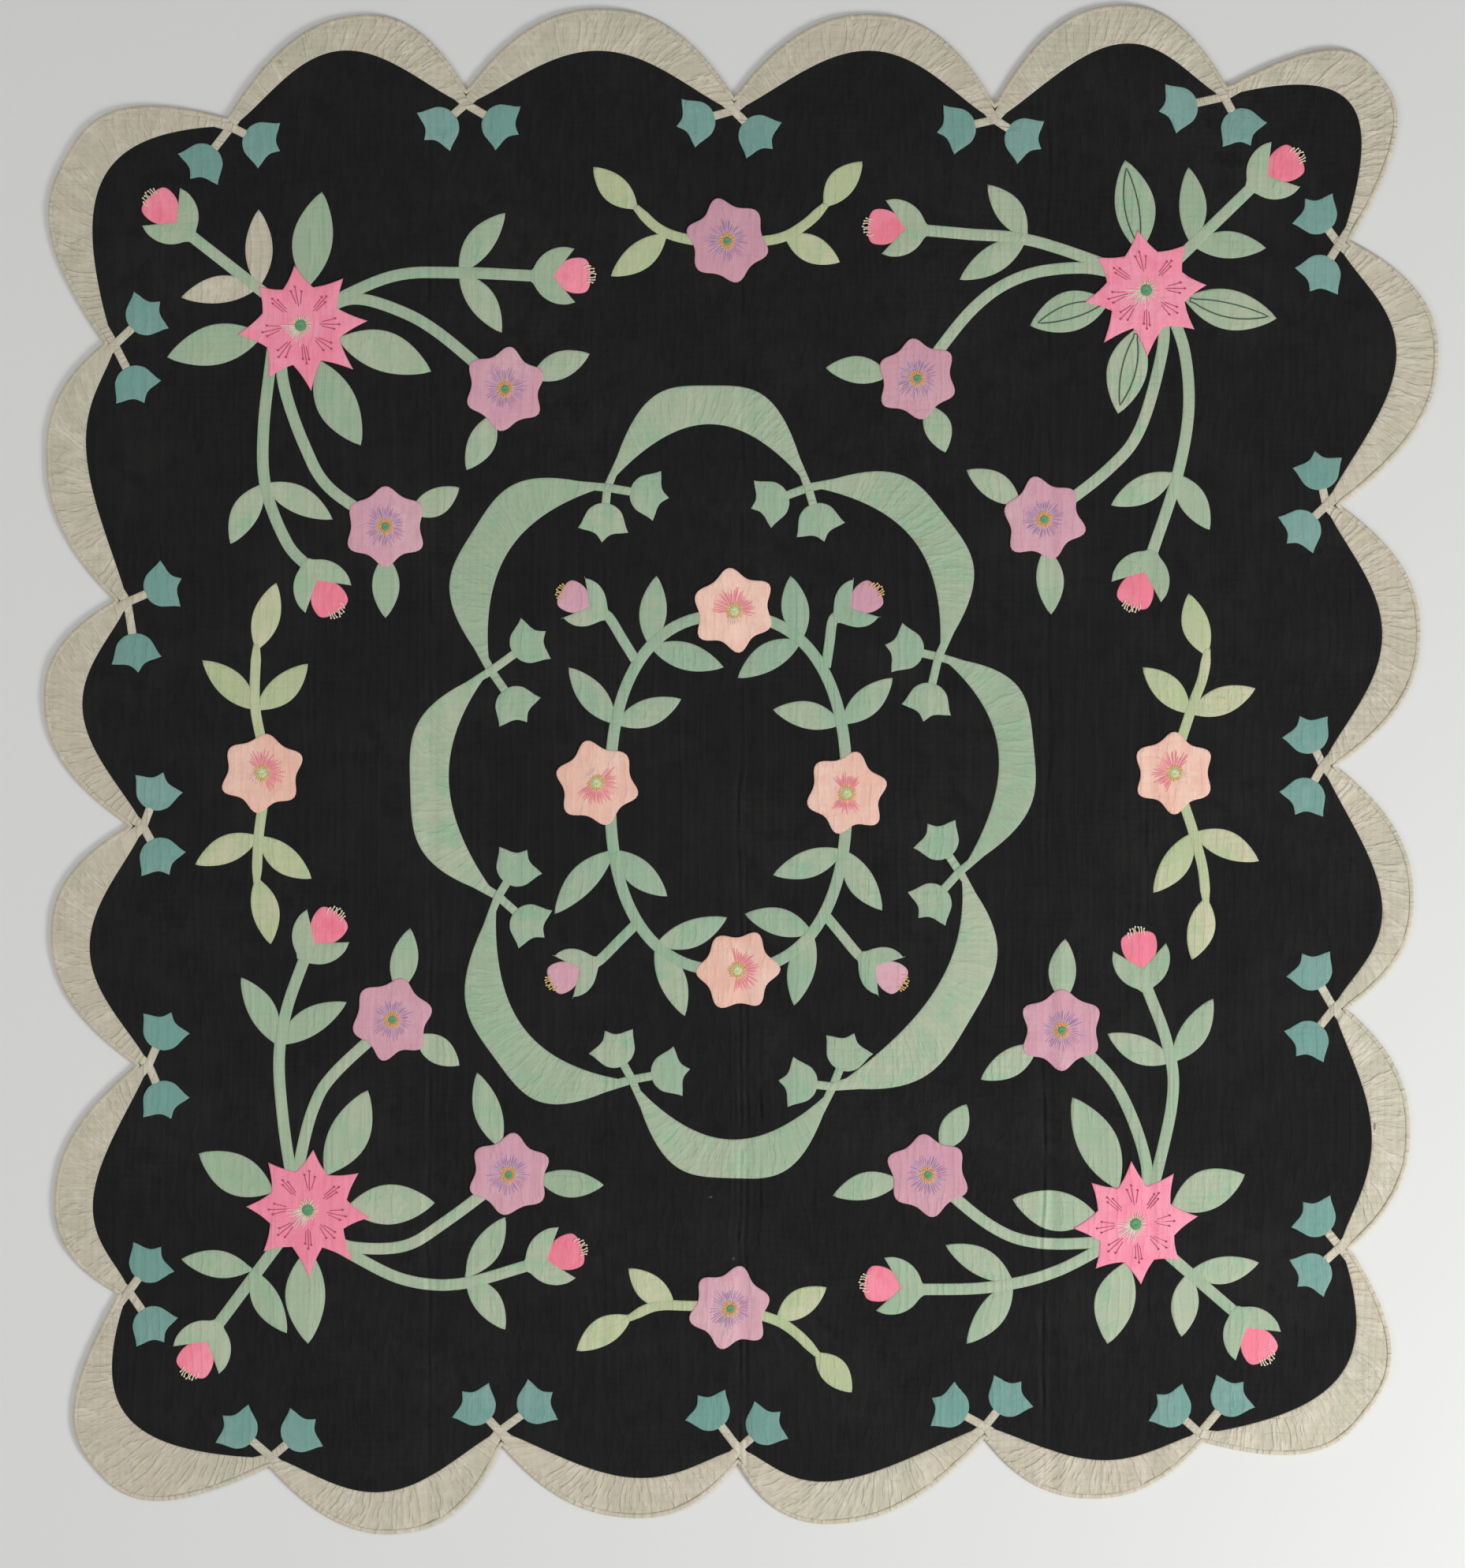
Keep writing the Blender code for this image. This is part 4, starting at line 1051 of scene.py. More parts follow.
def build_binding():
    """The rolled strip round the edge, drawn in slightly by its stitches."""
    section = rows(BINDING_SECTION_COLUMNS, BINDING_SECTION)
    outline = [Vector(place) for place in as_points(OUTLINE, BINDING_STEP)[::-1]]
    count = len(outline)
    steps = np.arange(count) * BINDING_STEP
    ripple = 0.35 * soft_noise(steps, 0 * steps, 11, 9, 6)
    ripple += 0.25 * soft_noise(steps, 0 * steps, 40, 9, 7)
    places = []
    for corner in section:
        ring = inset(outline, corner["inset"])
        over = corner["height"] > 4.5
        for index, point in enumerate(ring):
            places.append((point.x, point.y, corner["height"] + (ripple[index] if over else 0.0)))
    faces = []
    for side in range(len(section)):
        here, beyond = side * count, (side + 1) % len(section) * count
        for k in range(count):
            ahead = (k + 1) % count
            faces.append((here + k, beyond + k, beyond + ahead, here + ahead))
    piece = Piece("edge_binding")
    piece.places, piece.faces = places, faces
    piece.finishes = ["cream"] * len(faces)
    # the small edge distance on the inner lip paints a line of shade along it
    piece.edges = [0.4 if corner["inset"] > 6.0 else 2.0 for corner in section for _ in range(count)]
    piece.tones = [0.0] * len(places)
    piece.runs = np.tile(np.minimum(steps, steps[::-1]), len(section)).tolist()
    return piece.make("binding")


def crossing_lift(crossing):
    """Lifts the end of one crescent over its neighbour where they cross."""
    def lift(x, y):
        return CROSSING_LIFT * ease(1.0 - np.hypot(x - crossing.x, y - crossing.y) / CROSSING_REACH)
    return lift


def curved_grain(centre, crown):
    """Distance round a curved band from its crown, across the wrinkles that run over it."""
    axis = (crown - centre).normalized()
    reach = (crown - centre).length

    def grain(x, y):
        ahead = (x - centre.x) * axis.x + (y - centre.y) * axis.y
        aside = (y - centre.y) * axis.x - (x - centre.x) * axis.y
        return np.arctan2(aside, ahead) * reach + 0.25 * np.hypot(ahead, aside)
    return grain


def sew_tulip(piece, crossing, tulip_centre, finish):
    neck, direction = tulip_axis(crossing, tulip_centre)
    piece.sew(along(neck, direction, two_sided(TULIP_SIDE, TULIP_NOTCH)), finish, TULIP_LIFT)


def build_crescent(name, node, ends, bands, finish, tulip_finish):
    """One crescent or swag: its band and the tulips on its two ends."""
    (start, start_tulip), (end, end_tulip) = ends
    outer, inner = bands
    crown = outer[len(outer) // 2]
    hollow = start.lerp(end, 0.5) - (crown - start.lerp(end, 0.5)) * 0.4
    piece = Piece(name)
    piece.sew(crescent_outline(outer, inner, *ends), finish, crossing_lift(end),
              grain=curved_grain(hollow, crown))
    sew_tulip(piece, start, start_tulip, tulip_finish)
    sew_tulip(piece, end, end_tulip, tulip_finish)
    return piece.make(node)


def notch_crossings():
    """Where the thin ends of neighbouring cream crescents cross, just inside each notch."""
    crossings = []
    for index in range(0, len(OUTLINE), SHARE_STEPS + 1):
        before = (OUTLINE[index] - OUTLINE[index - 1]).normalized()
        after = (OUTLINE[index + 1] - OUTLINE[index]).normalized()
        inward = inward_of(before, after)
        across = inward.x * before.y - inward.y * before.x
        crossings.append(OUTLINE[index] + inward * CROSSING_INSET / across)
    return crossings


def band_between(start, end, crown, height, power):
    return [bulge(start, end, Vector(crown), share, height(share, power)) for share in SHARES]


def tulip_ends(start, end, row, following):
    return (start, Vector(row["tulip_before"])), (end, Vector(following["tulip_after"]))


def build_border():
    edge = inset(OUTLINE, CRESCENT_INSET)
    spans = zip(with_next(rows(SCALLOP_COLUMNS, SCALLOPS)), with_next(notch_crossings()))
    pieces = []
    for index, ((scallop, following), (start, end)) in enumerate(spans):
        power = INNER_CORNER_POWER if scallop["corner"] else INNER_FLANK_POWER
        inner = band_between(start, end, scallop["inner_crown"], flank_height, power)
        outer = edge[index * (SHARE_STEPS + 1) + 1:(index + 1) * (SHARE_STEPS + 1)]
        ends = tulip_ends(start, end, scallop, following)
        number = f"{index + 1:02d}"
        pieces.append(build_crescent("cream_crescent_" + number, "border_crescent_" + number, ends,
                                     (outer[1:-1], inner[1:-1]), "cream", "teal"))
    return pieces


def build_medallion():
    pieces = []
    for swag, following in with_next(rows(SWAG_COLUMNS, SWAGS)):
        start, end = Vector(swag["crossing"]), Vector(following["crossing"])
        outer = band_between(start, end, swag["crown"], round_height, SWAG_ROUNDNESS)
        inner = band_between(start, end, swag["inner_crown"], flank_height, SWAG_INNER_POWER)
        ends = tulip_ends(start, end, swag, following)
        pieces.append(build_crescent("green_swag_" + swag["name"], "swag_" + swag["name"], ends,
                                     (outer[1:-1], inner[1:-1]), "sage", "mint"))
    return pieces


def sew_stem(piece, route, finish, width=STEM_WIDTH, end_width=1.0):
    centre = smooth_route(route, 8) if len(route) > 2 else [Vector(point) for point in route]
    piece.sew(strip_outline(centre, width / 2, end_width), finish, STEM_LIFT)


def scaled(run, size):
    return tuple((u * size, v * size) for u, v in run)


def sew_bud(piece, foot, petal_centre, leaf_finish, petal_finish, calyx_side=CALYX_SIDE, size=1.0):
    petal_centre = Vector(petal_centre)
    direction = (petal_centre - Vector(foot)).normalized()
    base = petal_centre - direction * BUD_LENGTH * size
    petal = two_sided(scaled(PETAL_SIDE, size))
    calyx = two_sided(scaled(calyx_side, size), scaled(CALYX_MOUTH, size))
    piece.sew(along(base, direction, petal), petal_finish, PETAL_LIFT)
    piece.sew(along(base, direction, calyx), leaf_finish, CALYX_LIFT)


def build_sprays():
    pieces = []
    for corner, spray in SPRAYS.items():
        star = Vector(spray["star"])
        piece = Piece("leaf_spray_" + corner)
        for tip in spray["big_leaves"]:
            piece.sew(leaf_outline(towards(star, tip, BIG_LEAF_ROOT), tip, BIG_LEAF_WIDTH), "sage")
        for joint, *tips in spray["pairs"]:
            finish = "cream" if joint == CREAM_PAIR else "sage"
            for tip in tips:
                piece.sew(leaf_outline(joint, tip, LEAF_WIDTH), finish)
        for centre, *tips in spray["flowers"]:
            for tip in tips:
                piece.sew(leaf_outline(towards(centre, tip, FLOWER_LEAF_ROOT), tip, LEAF_WIDTH), "sage")
        necks = {foot: towards(petal_centre, foot, BUD_LENGTH - NECK_OVERLAP)
                 for foot, petal_centre in spray["buds"]}
        for route in spray["stems"]:
            sew_stem(piece, (*route[:-1], necks.get(route[-1], route[-1])), "sage")
        for foot, petal_centre in spray["buds"]:
            sew_bud(piece, foot, petal_centre, "sage", "bud_pink")
        pieces.append(piece.make("spray_" + corner))
    for side, spray in SIDE_SPRAYS.items():
        piece = Piece("side_leaves_" + side)
        for root, tip in spray["leaves"]:
            piece.sew(leaf_outline(root, tip, LEAF_WIDTH), "yellow_green")
        sew_stem(piece, spray["stem"], "yellow_green", STEM_WIDTH - 2.0, 0.6)
        pieces.append(piece.make("side_spray_" + side))
    return pieces


def vine_route():
    """The closed centre line of the wreath, a superellipse."""
    places = []
    for step in range(VINE_STEPS):
        turn = -2 * math.pi * step / VINE_STEPS
        reach = [math.copysign(abs(value) ** (2 / VINE_SQUARENESS), value)
                 for value in (math.cos(turn), math.sin(turn))]
        place = Vector((reach[0] * VINE_HALF_WIDTH, reach[1] * VINE_HALF_LENGTH))
        places.append(Vector(VINE_CENTRE) + place)
    return places


def build_wreath():
    """The vine is sewn as four strips between the flowers, over its leaves."""
    piece = Piece("vine_wreath")
    route = vine_route()
    for joint, *tips in WREATH_PAIRS:
        root = min(route, key=lambda place: (place - Vector(joint)).length)
        for tip in tips:
            piece.sew(leaf_outline(root, tip, LEAF_WIDTH), "mint")
    quarter = len(route) // 4
    for k in range(4):
        run = [route[(k * quarter + step) % len(route)] for step in range(quarter + 1)]
        piece.sew(strip_outline(run, VINE_WIDTH / 2), "mint", STEM_LIFT)
    for joint, foot, petal_centre in WREATH_BUDS:
        outer, inner = (towards(petal_centre, foot, BUD_LENGTH * WREATH_BUD_SIZE + reach)
                        for reach in WREATH_NECK)
        sew_stem(piece, (joint, Vector(joint).lerp(outer, 0.5), outer, inner), "mint", STEM_WIDTH - 2.0)
        sew_bud(piece, foot, petal_centre, "mint", "lavender", WREATH_CALYX_SIDE, WREATH_BUD_SIZE)
    return piece.make("wreath")


def flower_list():
    """Every flower as its place, kind and turn, in the order of its node."""
    blooms = [(centre, "lavender") for spray in SPRAYS.values() for centre, *_ in spray["flowers"]]
    blooms += [(spray["flower"], spray["kind"]) for spray in SIDE_SPRAYS.values()]
    blooms += [(centre, "peach") for centre in WREATH_FLOWERS]
    return [(centre, kind, LOWEST_TURN if centre == LOWEST_FLOWER else 90 + 7 * (index % 5 - 2))
            for index, (centre, kind) in enumerate(blooms, start=1)]


def build_flowers():
    pieces = []
    for index, (centre, kind, turn) in enumerate(flower_list(), start=1):
        piece = Piece(f"{kind}_flower_{index:02d}")
        piece.sew(lobed_outline(centre, turn, index), kind, UPPER_LIFT)
        pieces.append(piece.make(f"flower_{index:02d}"))
    for corner, spray in SPRAYS.items():
        piece = Piece("pink_star_" + corner)
        piece.sew(star_outline(spray["star"], STAR_TIPS[corner]), "pink", UPPER_LIFT)
        pieces.append(piece.make("star_" + corner))
    return pieces


# Thread work, by Geometry Nodes


class StitchTree(Graph):
    """A Geometry Nodes tree with named inputs, which ends in real meshes of one thread."""

    def __init__(self, name, inputs):
        super().__init__(bpy.data.node_groups.new(name, "GeometryNodeTree"))
        face = self.tree.interface
        face.new_socket("Geometry", in_out="INPUT", socket_type="NodeSocketGeometry")
        for label, kind in inputs:
            face.new_socket(label, in_out="INPUT", socket_type="NodeSocket" + kind)
        face.new_socket("Geometry", in_out="OUTPUT", socket_type="NodeSocketGeometry")
        self.given = self.node("NodeGroupInput")

    def input(self, label):
        return Value(self, self.given.outputs[label])

    def finish(self, stitches, material):
        real = self.out("GeometryNodeRealizeInstances", {0: stitches})
        smooth = self.out("GeometryNodeSetShadeSmooth", {0: real})
        coloured = self.out("GeometryNodeSetMaterial", {0: smooth, "Material": material})
        self.node("NodeGroupOutput", {0: coloured})
        return self.tree

    def thread(self, radius, arch, sides=5, resolution=4):
        """One stitch of unit length along X, arched in its middle."""
        middle = self.out("ShaderNodeCombineXYZ", {0: 0.5, 2: arch})
        line = self.out("GeometryNodeCurveQuadraticBezier", {
            "Resolution": resolution, "Start": (0, 0, 0), "Middle": middle, "End": (1, 0, 0)})
        ring = self.out("GeometryNodeCurvePrimitiveCircle", {"Resolution": sides, "Radius": radius})
        inputs = {"Curve": line, "Profile Curve": ring, "Fill Caps": True}
        return self.out("GeometryNodeCurveToMesh", inputs)

    def random(self, low, high, seed):
        inputs = {2: low, 3: high, 8: seed}
        return self.out("FunctionNodeRandomValue", inputs, output=1, data_type="FLOAT")

    def over_zero(self, value):
        return self.out("FunctionNodeCompare", {0: value, 1: 0.0}, data_type="FLOAT",
                        operation="GREATER_THAN")

    def lengthened(self, length):
        return self.out("ShaderNodeCombineXYZ", {0: length, 1: 1.0, 2: 1.0})


RADIAL_INPUTS = (("Count", "Int"), ("Start", "Float"), ("Length", "Float"), ("Unevenness", "Float"),
                 ("From angle", "Float"), ("Arc", "Float"), ("Thread radius", "Float"),
                 ("Knot radius", "Float"), ("Seed", "Int"), ("Material", "Material"))


def radial_tree():
    """Straight stitches that spread from each point, or knots in a ring round it."""
    tree = StitchTree("radial_stitches", RADIAL_INPUTS)
    copies = tree.node("GeometryNodeDuplicateElements", domain="POINT",
                       inputs={"Geometry": tree.input("Geometry"), "Amount": tree.input("Count")})
    points, number = (Value(tree, socket) for socket in copies.outputs)
    seed = tree.input("Seed")
    turn = tree.out("GeometryNodeInputNamedAttribute", {"Name": "turn"}, data_type="FLOAT")
    step = tree.input("Arc") / tree.input("Count")
    angle = turn + tree.input("From angle") + step * (number + tree.random(-0.35, 0.35, seed))
    uneven = tree.input("Unevenness")
    start = tree.input("Start") * (1.0 - uneven * 0.5 * tree.random(0.0, 1.0, seed + 1))
    length = tree.input("Length") * (1.0 - uneven * tree.random(0.0, 1.0, seed + 2))
    offset = tree.out("ShaderNodeCombineXYZ",
                      {0: start * angle.math("COSINE"), 1: start * angle.sine()})
    placed = tree.out("GeometryNodeSetPosition", {"Geometry": points, "Offset": offset})
    rotation = tree.out("FunctionNodeEulerToRotation",
                        {0: tree.out("ShaderNodeCombineXYZ", {2: angle})})
    radius, knot_radius = tree.input("Thread radius"), tree.input("Knot radius")
    stitches = tree.out("GeometryNodeInstanceOnPoints", {
        "Points": placed, "Selection": tree.over_zero(radius), "Rotation": rotation,
        "Instance": tree.thread(radius, radius * 2.0), "Scale": tree.lengthened(length),
    })
    ball = tree.out("GeometryNodeMeshIcoSphere", {"Radius": knot_radius, "Subdivisions": 2})
    knots = tree.out("GeometryNodeInstanceOnPoints",
                     {"Points": placed, "Selection": tree.over_zero(knot_radius), "Instance": ball})
    both = tree.node("GeometryNodeJoinGeometry")
    tree.tree.links.new(stitches.socket, both.inputs[0])
    tree.tree.links.new(knots.socket, both.inputs[0])
    return tree.finish(Value(tree, both.outputs[0]), tree.input("Material"))


def line_tree():
    """A thread laid along each run of edges."""
    tree = StitchTree("laid_thread", (("Thread radius", "Float"), ("Material", "Material")))
    curve = tree.out("GeometryNodeMeshToCurve", {"Mesh": tree.input("Geometry")})
    ring = tree.out("GeometryNodeCurvePrimitiveCircle",
                    {"Resolution": 5, "Radius": tree.input("Thread radius")})
    inputs = {"Curve": curve, "Profile Curve": ring, "Fill Caps": True}
    return tree.finish(tree.out("GeometryNodeCurveToMesh", inputs), tree.input("Material"))


EDGE_INPUTS = (("Spacing", "Float"), ("Stitch length", "Float"), ("Thread radius", "Float"),
               ("Seed", "Int"), ("Material", "Material"))


def edge_tree():
    """Small sewing stitches over a turned edge, at even steps along it."""
    tree = StitchTree("edge_stitches", EDGE_INPUTS)
    curve = tree.out("GeometryNodeMeshToCurve", {"Mesh": tree.input("Geometry")})
    steps = tree.node("GeometryNodeCurveToPoints", mode="LENGTH",
                      inputs={"Curve": curve, "Length": tree.input("Spacing")})
    points, tangent = (Value(tree, socket) for socket in steps.outputs[:2])
    backwards = tree.out("ShaderNodeVectorMath", {0: tangent, "Scale": -1.0}, operation="SCALE")
    rotation = tree.out("FunctionNodeAlignRotationToVector", {"Vector": backwards},
                        axis="Y", pivot_axis="Z")
    length = tree.input("Stitch length") * tree.random(0.7, 1.2, tree.input("Seed"))
    radius = tree.input("Thread radius")
    stitches = tree.out("GeometryNodeInstanceOnPoints", {
        "Points": points, "Instance": tree.thread(radius, radius * 2.5, 3, 2),
        "Rotation": rotation, "Scale": tree.lengthened(length),
    })
    return tree.finish(stitches, tree.input("Material"))


RADIAL_TREE = radial_tree()
LINE_TREE = line_tree()
EDGE_TREE = edge_tree()


def guide_mesh(name, points, edges=(), turns=None):
    mesh = bpy.data.meshes.new(name)
    mesh.from_pydata([(x * MM, y * MM, z * MM) for x, y, z in points], list(edges), [])
    if turns is not None:
        mesh.attributes.new("turn", "FLOAT", "POINT").data.foreach_set("value", turns)
    return mesh


def work_stitches(name, tree, guide, settings, height):
    """Grow a tree's stitches on a guide, make them a plain mesh and lay them on the cloth."""
    grower = put(name + "_guide", guide)
    modifier = grower.modifiers.new("Stitches", "NODES")
    modifier.node_group = tree
    named = {item.name: item.identifier for item in tree.interface.items_tree if item.in_out == "INPUT"}
    for label, value in settings.items():
        modifier[named[label]] = value
    graph = bpy.context.evaluated_depsgraph_get()
    mesh = bpy.data.meshes.new_from_object(grower.evaluated_get(graph), depsgraph=graph)
    grower.modifiers.remove(modifier)
    bpy.data.objects.remove(grower)
    mesh.name = name
    places = np.empty(len(mesh.vertices) * 3)
    mesh.vertices.foreach_get("co", places)
    places = places.reshape(-1, 3) / MM
    laid = places[:, 2] + ground_height(places[:, 0], places[:, 1]) + height
    mesh.vertices.foreach_set("co", np.array(in_metres(zip(places[:, 0], places[:, 1], laid))).ravel())
    mesh.update()
    return add_piece(name, mesh)


def ring_edges(first, count):
    return [(first + k, first + (k + 1) % count) for k in range(count)]


def lay_thread(name, points, edges, thread, radius, height):
    settings = {"Thread radius": radius * MM, "Material": THREADS[thread]}
    return work_stitches(name, LINE_TREE, guide_mesh(name, points, edges), settings, height)


def tie_knots(name, points, thread, radius, seed, height):
    settings = {"Count": 1, "Start": 0.0, "Length": 0.0, "Thread radius": 0.0, "Arc": 1.0,
                "Knot radius": radius * MM, "Seed": seed, "Material": THREADS[thread]}
    guide = guide_mesh(name, points, turns=[0.0] * len(points))
    return work_stitches(name, RADIAL_TREE, guide, settings, height)


UPPER_TOP = UPPER_LIFT + CUT_THICKNESS + PUFF

WORK_COLUMNS = ("name", "flowers", "thread", "count", "start", "length", "uneven", "from_angle", "arc",
                "thread_radius", "knot_radius")
FLOWER_WORK = (
    ("lavender_eye", "lavender", "leaf_green", 28, 0.4, 5.8, 0.12, 0, 360, 0.85, 0.0),
    ("lavender_gold", "lavender", "orange", 28, 6.0, 5.6, 0.30, 0, 360, 0.75, 0.0),
    ("lavender_outer_gold", "lavender", "gold", 24, 9.8, 5.0, 0.45, 40, 290, 0.65, 0.0),
    ("lavender_rays", "lavender", "violet", 40, 15.0, 18.0, 0.55, 0, 360, 0.40, 0.0),
    ("lavender_light_rays", "lavender", "lilac", 34, 14.5, 17.0, 0.55, 20, 290, 0.48, 0.0),
    ("peach_eye", "peach", "lime", 24, 0.3, 7.4, 0.2, 0, 360, 0.95, 0.0),
    ("peach_gold", "peach", "gold", 30, 7.0, 7.4, 0.35, 0, 360, 0.7, 0.0),
    ("peach_knots", "peach", "orange", 9, 11.0, 0.0, 0.3, 150, 250, 0.0, 0.9),
    ("peach_rays", "peach_wide", "magenta", 34, 13.5, 22.0, 0.50, -105, 210, 0.48, 0.0),
    ("peach_narrow_rays", "peach_narrow", "magenta", 17, 13.5, 20.0, 0.50, -48, 96, 0.48, 0.0),
    ("peach_light_rays", "peach_light", "white", 13, 12.0, 12.0, 0.5, -32, 64, 0.55, 0.0),
    ("star_eye", "star", "leaf_green", 34, 0.4, 8.2, 0.08, 0, 360, 0.9, 0.0),
    ("star_rays", "star", "cream", 30, 8.6, 9.5, 0.4, 0, 360, 0.62, 0.0),
    ("star_light_rays", "star", "pale", 18, 11.0, 22.0, 0.6, 178, 92, 0.55, 0.0),
)


# The middle directions of the rays of each peach flower: the two side sprays, and then the wreath
PEACH_RAYS = ((40,), (150,), (90,), (-50,), (90, -90), (5,))
# The side of the first peach flowers where pale stitches lie instead
PEACH_LIGHT_SIDES = (220, -30, -90, 130)


def work_flowers():
    """The eyes, knots and radiating stitches of the flowers and stars."""
    places = {"lavender": [], "peach": [], "star": [], "peach_wide": [], "peach_narrow": [],
              "peach_light": []}
    for index, (centre, kind, turn) in enumerate(flower_list()):
        places[kind].append((centre, math.radians(37 * index % 90 - 45)))
    for spray in SPRAYS.values():
        places["star"].append((spray["star"], 0.0))
    peaches = [centre for centre, _ in places["peach"]]
    for centre, directions in zip(peaches, PEACH_RAYS):
        group = "peach_wide" if len(directions) == 1 else "peach_narrow"
        places[group] += [(centre, math.radians(direction)) for direction in directions]
    places["peach_light"] = [(centre, math.radians(side))
                             for centre, side in zip(peaches, PEACH_LIGHT_SIDES)]
    pieces = []
    for seed, row in enumerate(rows(WORK_COLUMNS, FLOWER_WORK)):
        spots = places[row["flowers"]]
        guide = guide_mesh(row["name"], [(*centre, 0.0) for centre, _ in spots],
                           turns=[turn for _, turn in spots])
        settings = {
            "Count": row["count"], "Start": row["start"] * MM, "Length": row["length"] * MM,
            "Unevenness": row["uneven"], "From angle": math.radians(row["from_angle"]),
            "Arc": math.radians(row["arc"]), "Thread radius": row["thread_radius"] * MM,
            "Knot radius": row["knot_radius"] * MM, "Seed": seed * 10, "Material": THREADS[row["thread"]],
        }
        pieces.append(work_stitches(row["name"], RADIAL_TREE, guide, settings, UPPER_TOP))
    return pieces


STAMEN_REACHES = (48.0, 55.0, 50.0)
STAMEN_STARTS = (30.0, 27.0, 31.0)
STAMEN_SPREAD = 7.5
STAMEN_KNOT = 1.5


def work_stamens():
    """Three dark stamens with knotted ends in each point of the stars."""
    points, edges, knots = [], [], []
    for corner, spray in SPRAYS.items():
        centre = Vector(spray["star"])
        for index, (angle, _) in enumerate(STAR_TIPS[corner]):
            for side, (near, far) in enumerate(zip(STAMEN_STARTS, STAMEN_REACHES)):
                lean = (side - 1) * STAMEN_SPREAD
                inner = math.radians(angle + lean * 0.75)
                outer = math.radians(angle + lean + 3.0 * math.sin(2.1 * index + side))
                root, tip = centre + turned(inner, near), centre + turned(outer, far)
                edges.append((len(points), len(points) + 1))
                points += [(root.x, root.y, 0.1), (tip.x, tip.y, 0.1)]
                knots.append((tip.x, tip.y, 0.3))
    return [lay_thread("star_stamens", points, edges, "rose", 0.55, UPPER_TOP - 0.1),
            tie_knots("star_knots", knots, "rose", STAMEN_KNOT, 3, UPPER_TOP - 0.2)]


BUD_STITCHES = (-10.5, -6.5, -2.5, 1.5, 5.5, 9.5, 13.0)


def work_buds(name, buds, thread, size=1.0):
    """Short thick stitches with knots, close together over the outer edge of each bud."""
    points, edges, knots = [], [], []
    for foot, petal_centre in buds:
        petal_centre = Vector(petal_centre)
        direction = (petal_centre - Vector(foot)).normalized()
        base = petal_centre - direction * BUD_LENGTH * size
        for k, across in enumerate(BUD_STITCHES):
            reach = 87.0 - 0.035 * across * across + 1.4 * math.sin(3.0 * k)
            slant = 1.6 * math.sin(2.3 * k + 1.0)
            run = ((reach - 9.0, across * 0.9), (reach - 4.0, across + slant), (reach, across))
            first = len(points)
            placed = along(base, direction, scaled(run, size))
            points += [(place.x, place.y, z) for place, z in zip(placed, (1.7, 1.8, 0.8))]
            edges += [(first, first + 1), (first + 1, first + 2)]
            knots.append((placed[2].x, placed[2].y, 0.9))
    return [lay_thread(name, points, edges, thread, 0.85, 0.3),
            tie_knots(name + "_knots", knots, thread, 1.35, 5, 0.3)]


def work_leaf_lines():
    """The closed dark line worked inside each big leaf at the top right."""
    points, edges = [], []
    star = SPRAYS["top_right"]["star"]
    for tip in SPRAYS["top_right"]["big_leaves"]:
        root = towards(star, tip, BIG_LEAF_ROOT + 8.0)
        end = towards(star, tip, (Vector(tip) - Vector(star)).length - 12.0)
        loop = leaf_outline(root, end, 20.0, 0.0)
        loop = as_points(loop, 6.0)
        first = len(points)
        points += [(x, y, 0.0) for x, y in loop]
        edges += ring_edges(first, len(loop))
    return [lay_thread("leaf_lines", points, edges, "bottle_green", 0.9, CUT_THICKNESS + PUFF)]


SEWING_SPACING = 6.6
SEWING_STITCH = 2.2
SEWING_RADIUS = 0.28
SEWING = {"sewing_cream": ("cream",), "sewing_green": ("teal", "sage", "mint", "yellow_green"),
          "sewing_pink": ("pink", "bud_pink", "lavender", "peach")}


def work_edges(thread, slot):
    """The small stitches that hold down every turned edge of one group of cloths."""
    points, edges = [], []
    for finish, rim in RIMS:
        if finish in SEWING[thread]:
            first = len(points)
            points += [tuple(place) for place in rim]
            edges += ring_edges(first, len(rim))
    settings = {"Spacing": SEWING_SPACING * MM, "Stitch length": SEWING_STITCH * MM,
                "Thread radius": SEWING_RADIUS * MM, "Seed": 8, "Material": THREADS[thread]}
    guide = guide_mesh(thread + "_stitches", points, edges)
    return work_stitches(thread + "_stitches", EDGE_TREE, guide, settings, 0.0), slot


# Laying out the whole


ground = build_ground()
slots = [(ground, "ground"), (build_binding(), "binding"), (build_wreath(), "wreath")]
slots += [(piece, "border") for piece in build_border()]
slots += [(piece, "swag") for piece in build_medallion()]
for piece in build_sprays():
    slots.append((piece, "spray" if piece.name.startswith("leaf_spray") else "side_spray"))
for piece in build_flowers():
    kind = piece.name.split("_")[0]
    slots.append((piece, "star" if kind == "pink" else kind + "_flower"))
for piece in work_flowers() + work_stamens():
    kind = piece.name.split("_")[0]
    slots.append((piece, "star" if kind == "star" else kind + "_flower"))
pink_buds = [bud for spray in SPRAYS.values() for bud in spray["buds"]]
slots += [(piece, "spray") for piece in work_buds("pink_bud_stitches", pink_buds, "cream")]
slots += [(piece, "wreath") for piece in
          work_buds("lavender_bud_stitches", [bud[1:] for bud in WREATH_BUDS], "gold", WREATH_BUD_SIZE)]
slots += [(piece, "spray") for piece in work_leaf_lines()]
slots += [work_edges("sewing_cream", "border"), work_edges("sewing_green", "swag"),
          work_edges("sewing_pink", "lavender_flower")]


# Floor, light and camera

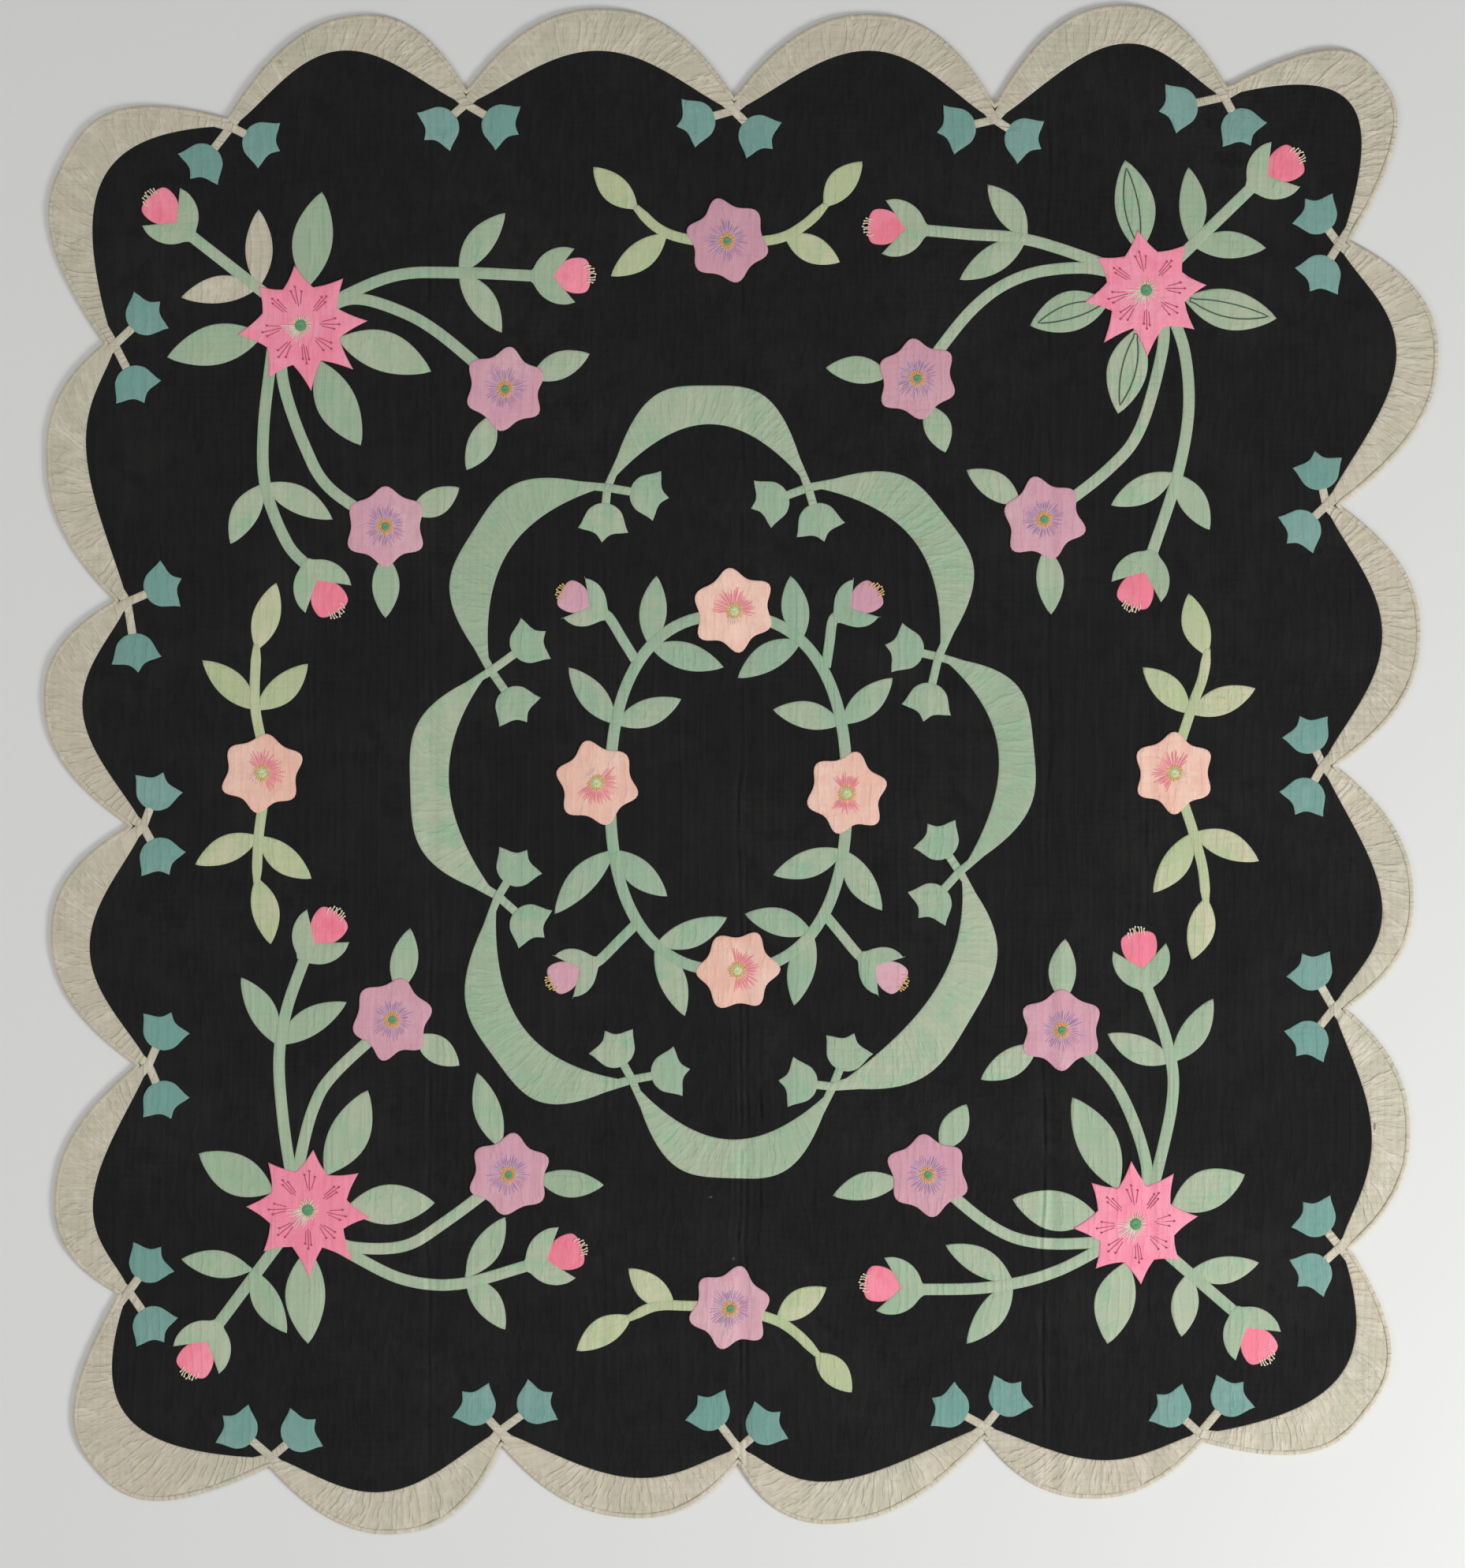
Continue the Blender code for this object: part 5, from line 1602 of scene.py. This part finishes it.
FLOOR_HALF = 30.0
FLOOR_HEIGHT = -0.0004
FLOOR_COLOUR = (0.80, 0.80, 0.79, 1.0)
VIEW_CENTRE = (-0.0119, -0.0203)
VIEW_WIDTH = 2.081
VIEW_DISTANCE = 7.0
SENSOR = 36.0
SKY_STRENGTH = 0.42

LIGHT_COLUMNS = ("name", "place", "target", "size", "energy")
LIGHTS = (
    ("key", (3.6, -2.4, 2.7), (0.1, -0.1, 0.0), 1.6, 152.0),
    ("fill", (-4.2, -0.3, 3.8), (-0.4, 0.0, 0.0), 2.6, 48.0),
)


def build_floor():
    mesh = bpy.data.meshes.new("floor")
    corners = [(-FLOOR_HALF, -FLOOR_HALF), (FLOOR_HALF, -FLOOR_HALF), (FLOOR_HALF, FLOOR_HALF),
               (-FLOOR_HALF, FLOOR_HALF)]
    mesh.from_pydata([(x, y, FLOOR_HEIGHT) for x, y in corners], [], [(0, 1, 2, 3)])
    material, graph = new_material("pale_floor")
    graph.feed("Base Color", FLOOR_COLOUR)
    graph.feed("Roughness", 0.85)
    mesh.materials.append(material)
    put("floor", mesh)


def soft_light(name, place, target, size, energy):
    data = bpy.data.lights.new(name, "AREA")
    data.shape = "SQUARE"
    data.size = size
    data.energy = energy
    light = put(name, data)
    light.location = place
    light.rotation_euler = (Vector(target) - Vector(place)).to_track_quat("-Z", "Y").to_euler()


def build_camera():
    data = bpy.data.cameras.new("camera")
    data.sensor_fit = "HORIZONTAL"
    data.sensor_width = SENSOR
    data.lens = SENSOR * VIEW_DISTANCE / VIEW_WIDTH
    data.clip_end = 50.0
    camera = put("camera", data)
    camera.location = (*VIEW_CENTRE, VIEW_DISTANCE)
    bpy.context.scene.camera = camera


def build_world():
    world = bpy.data.worlds.new("studio")
    world.use_nodes = True
    background = world.node_tree.nodes["Background"]
    background.inputs["Color"].default_value = (1.0, 1.0, 1.0, 1.0)
    background.inputs["Strength"].default_value = SKY_STRENGTH
    bpy.context.scene.world = world


bpy.context.scene.view_settings.view_transform = "Standard"
build_floor()
build_camera()
build_world()
for row in rows(LIGHT_COLUMNS, LIGHTS):
    soft_light(**row)
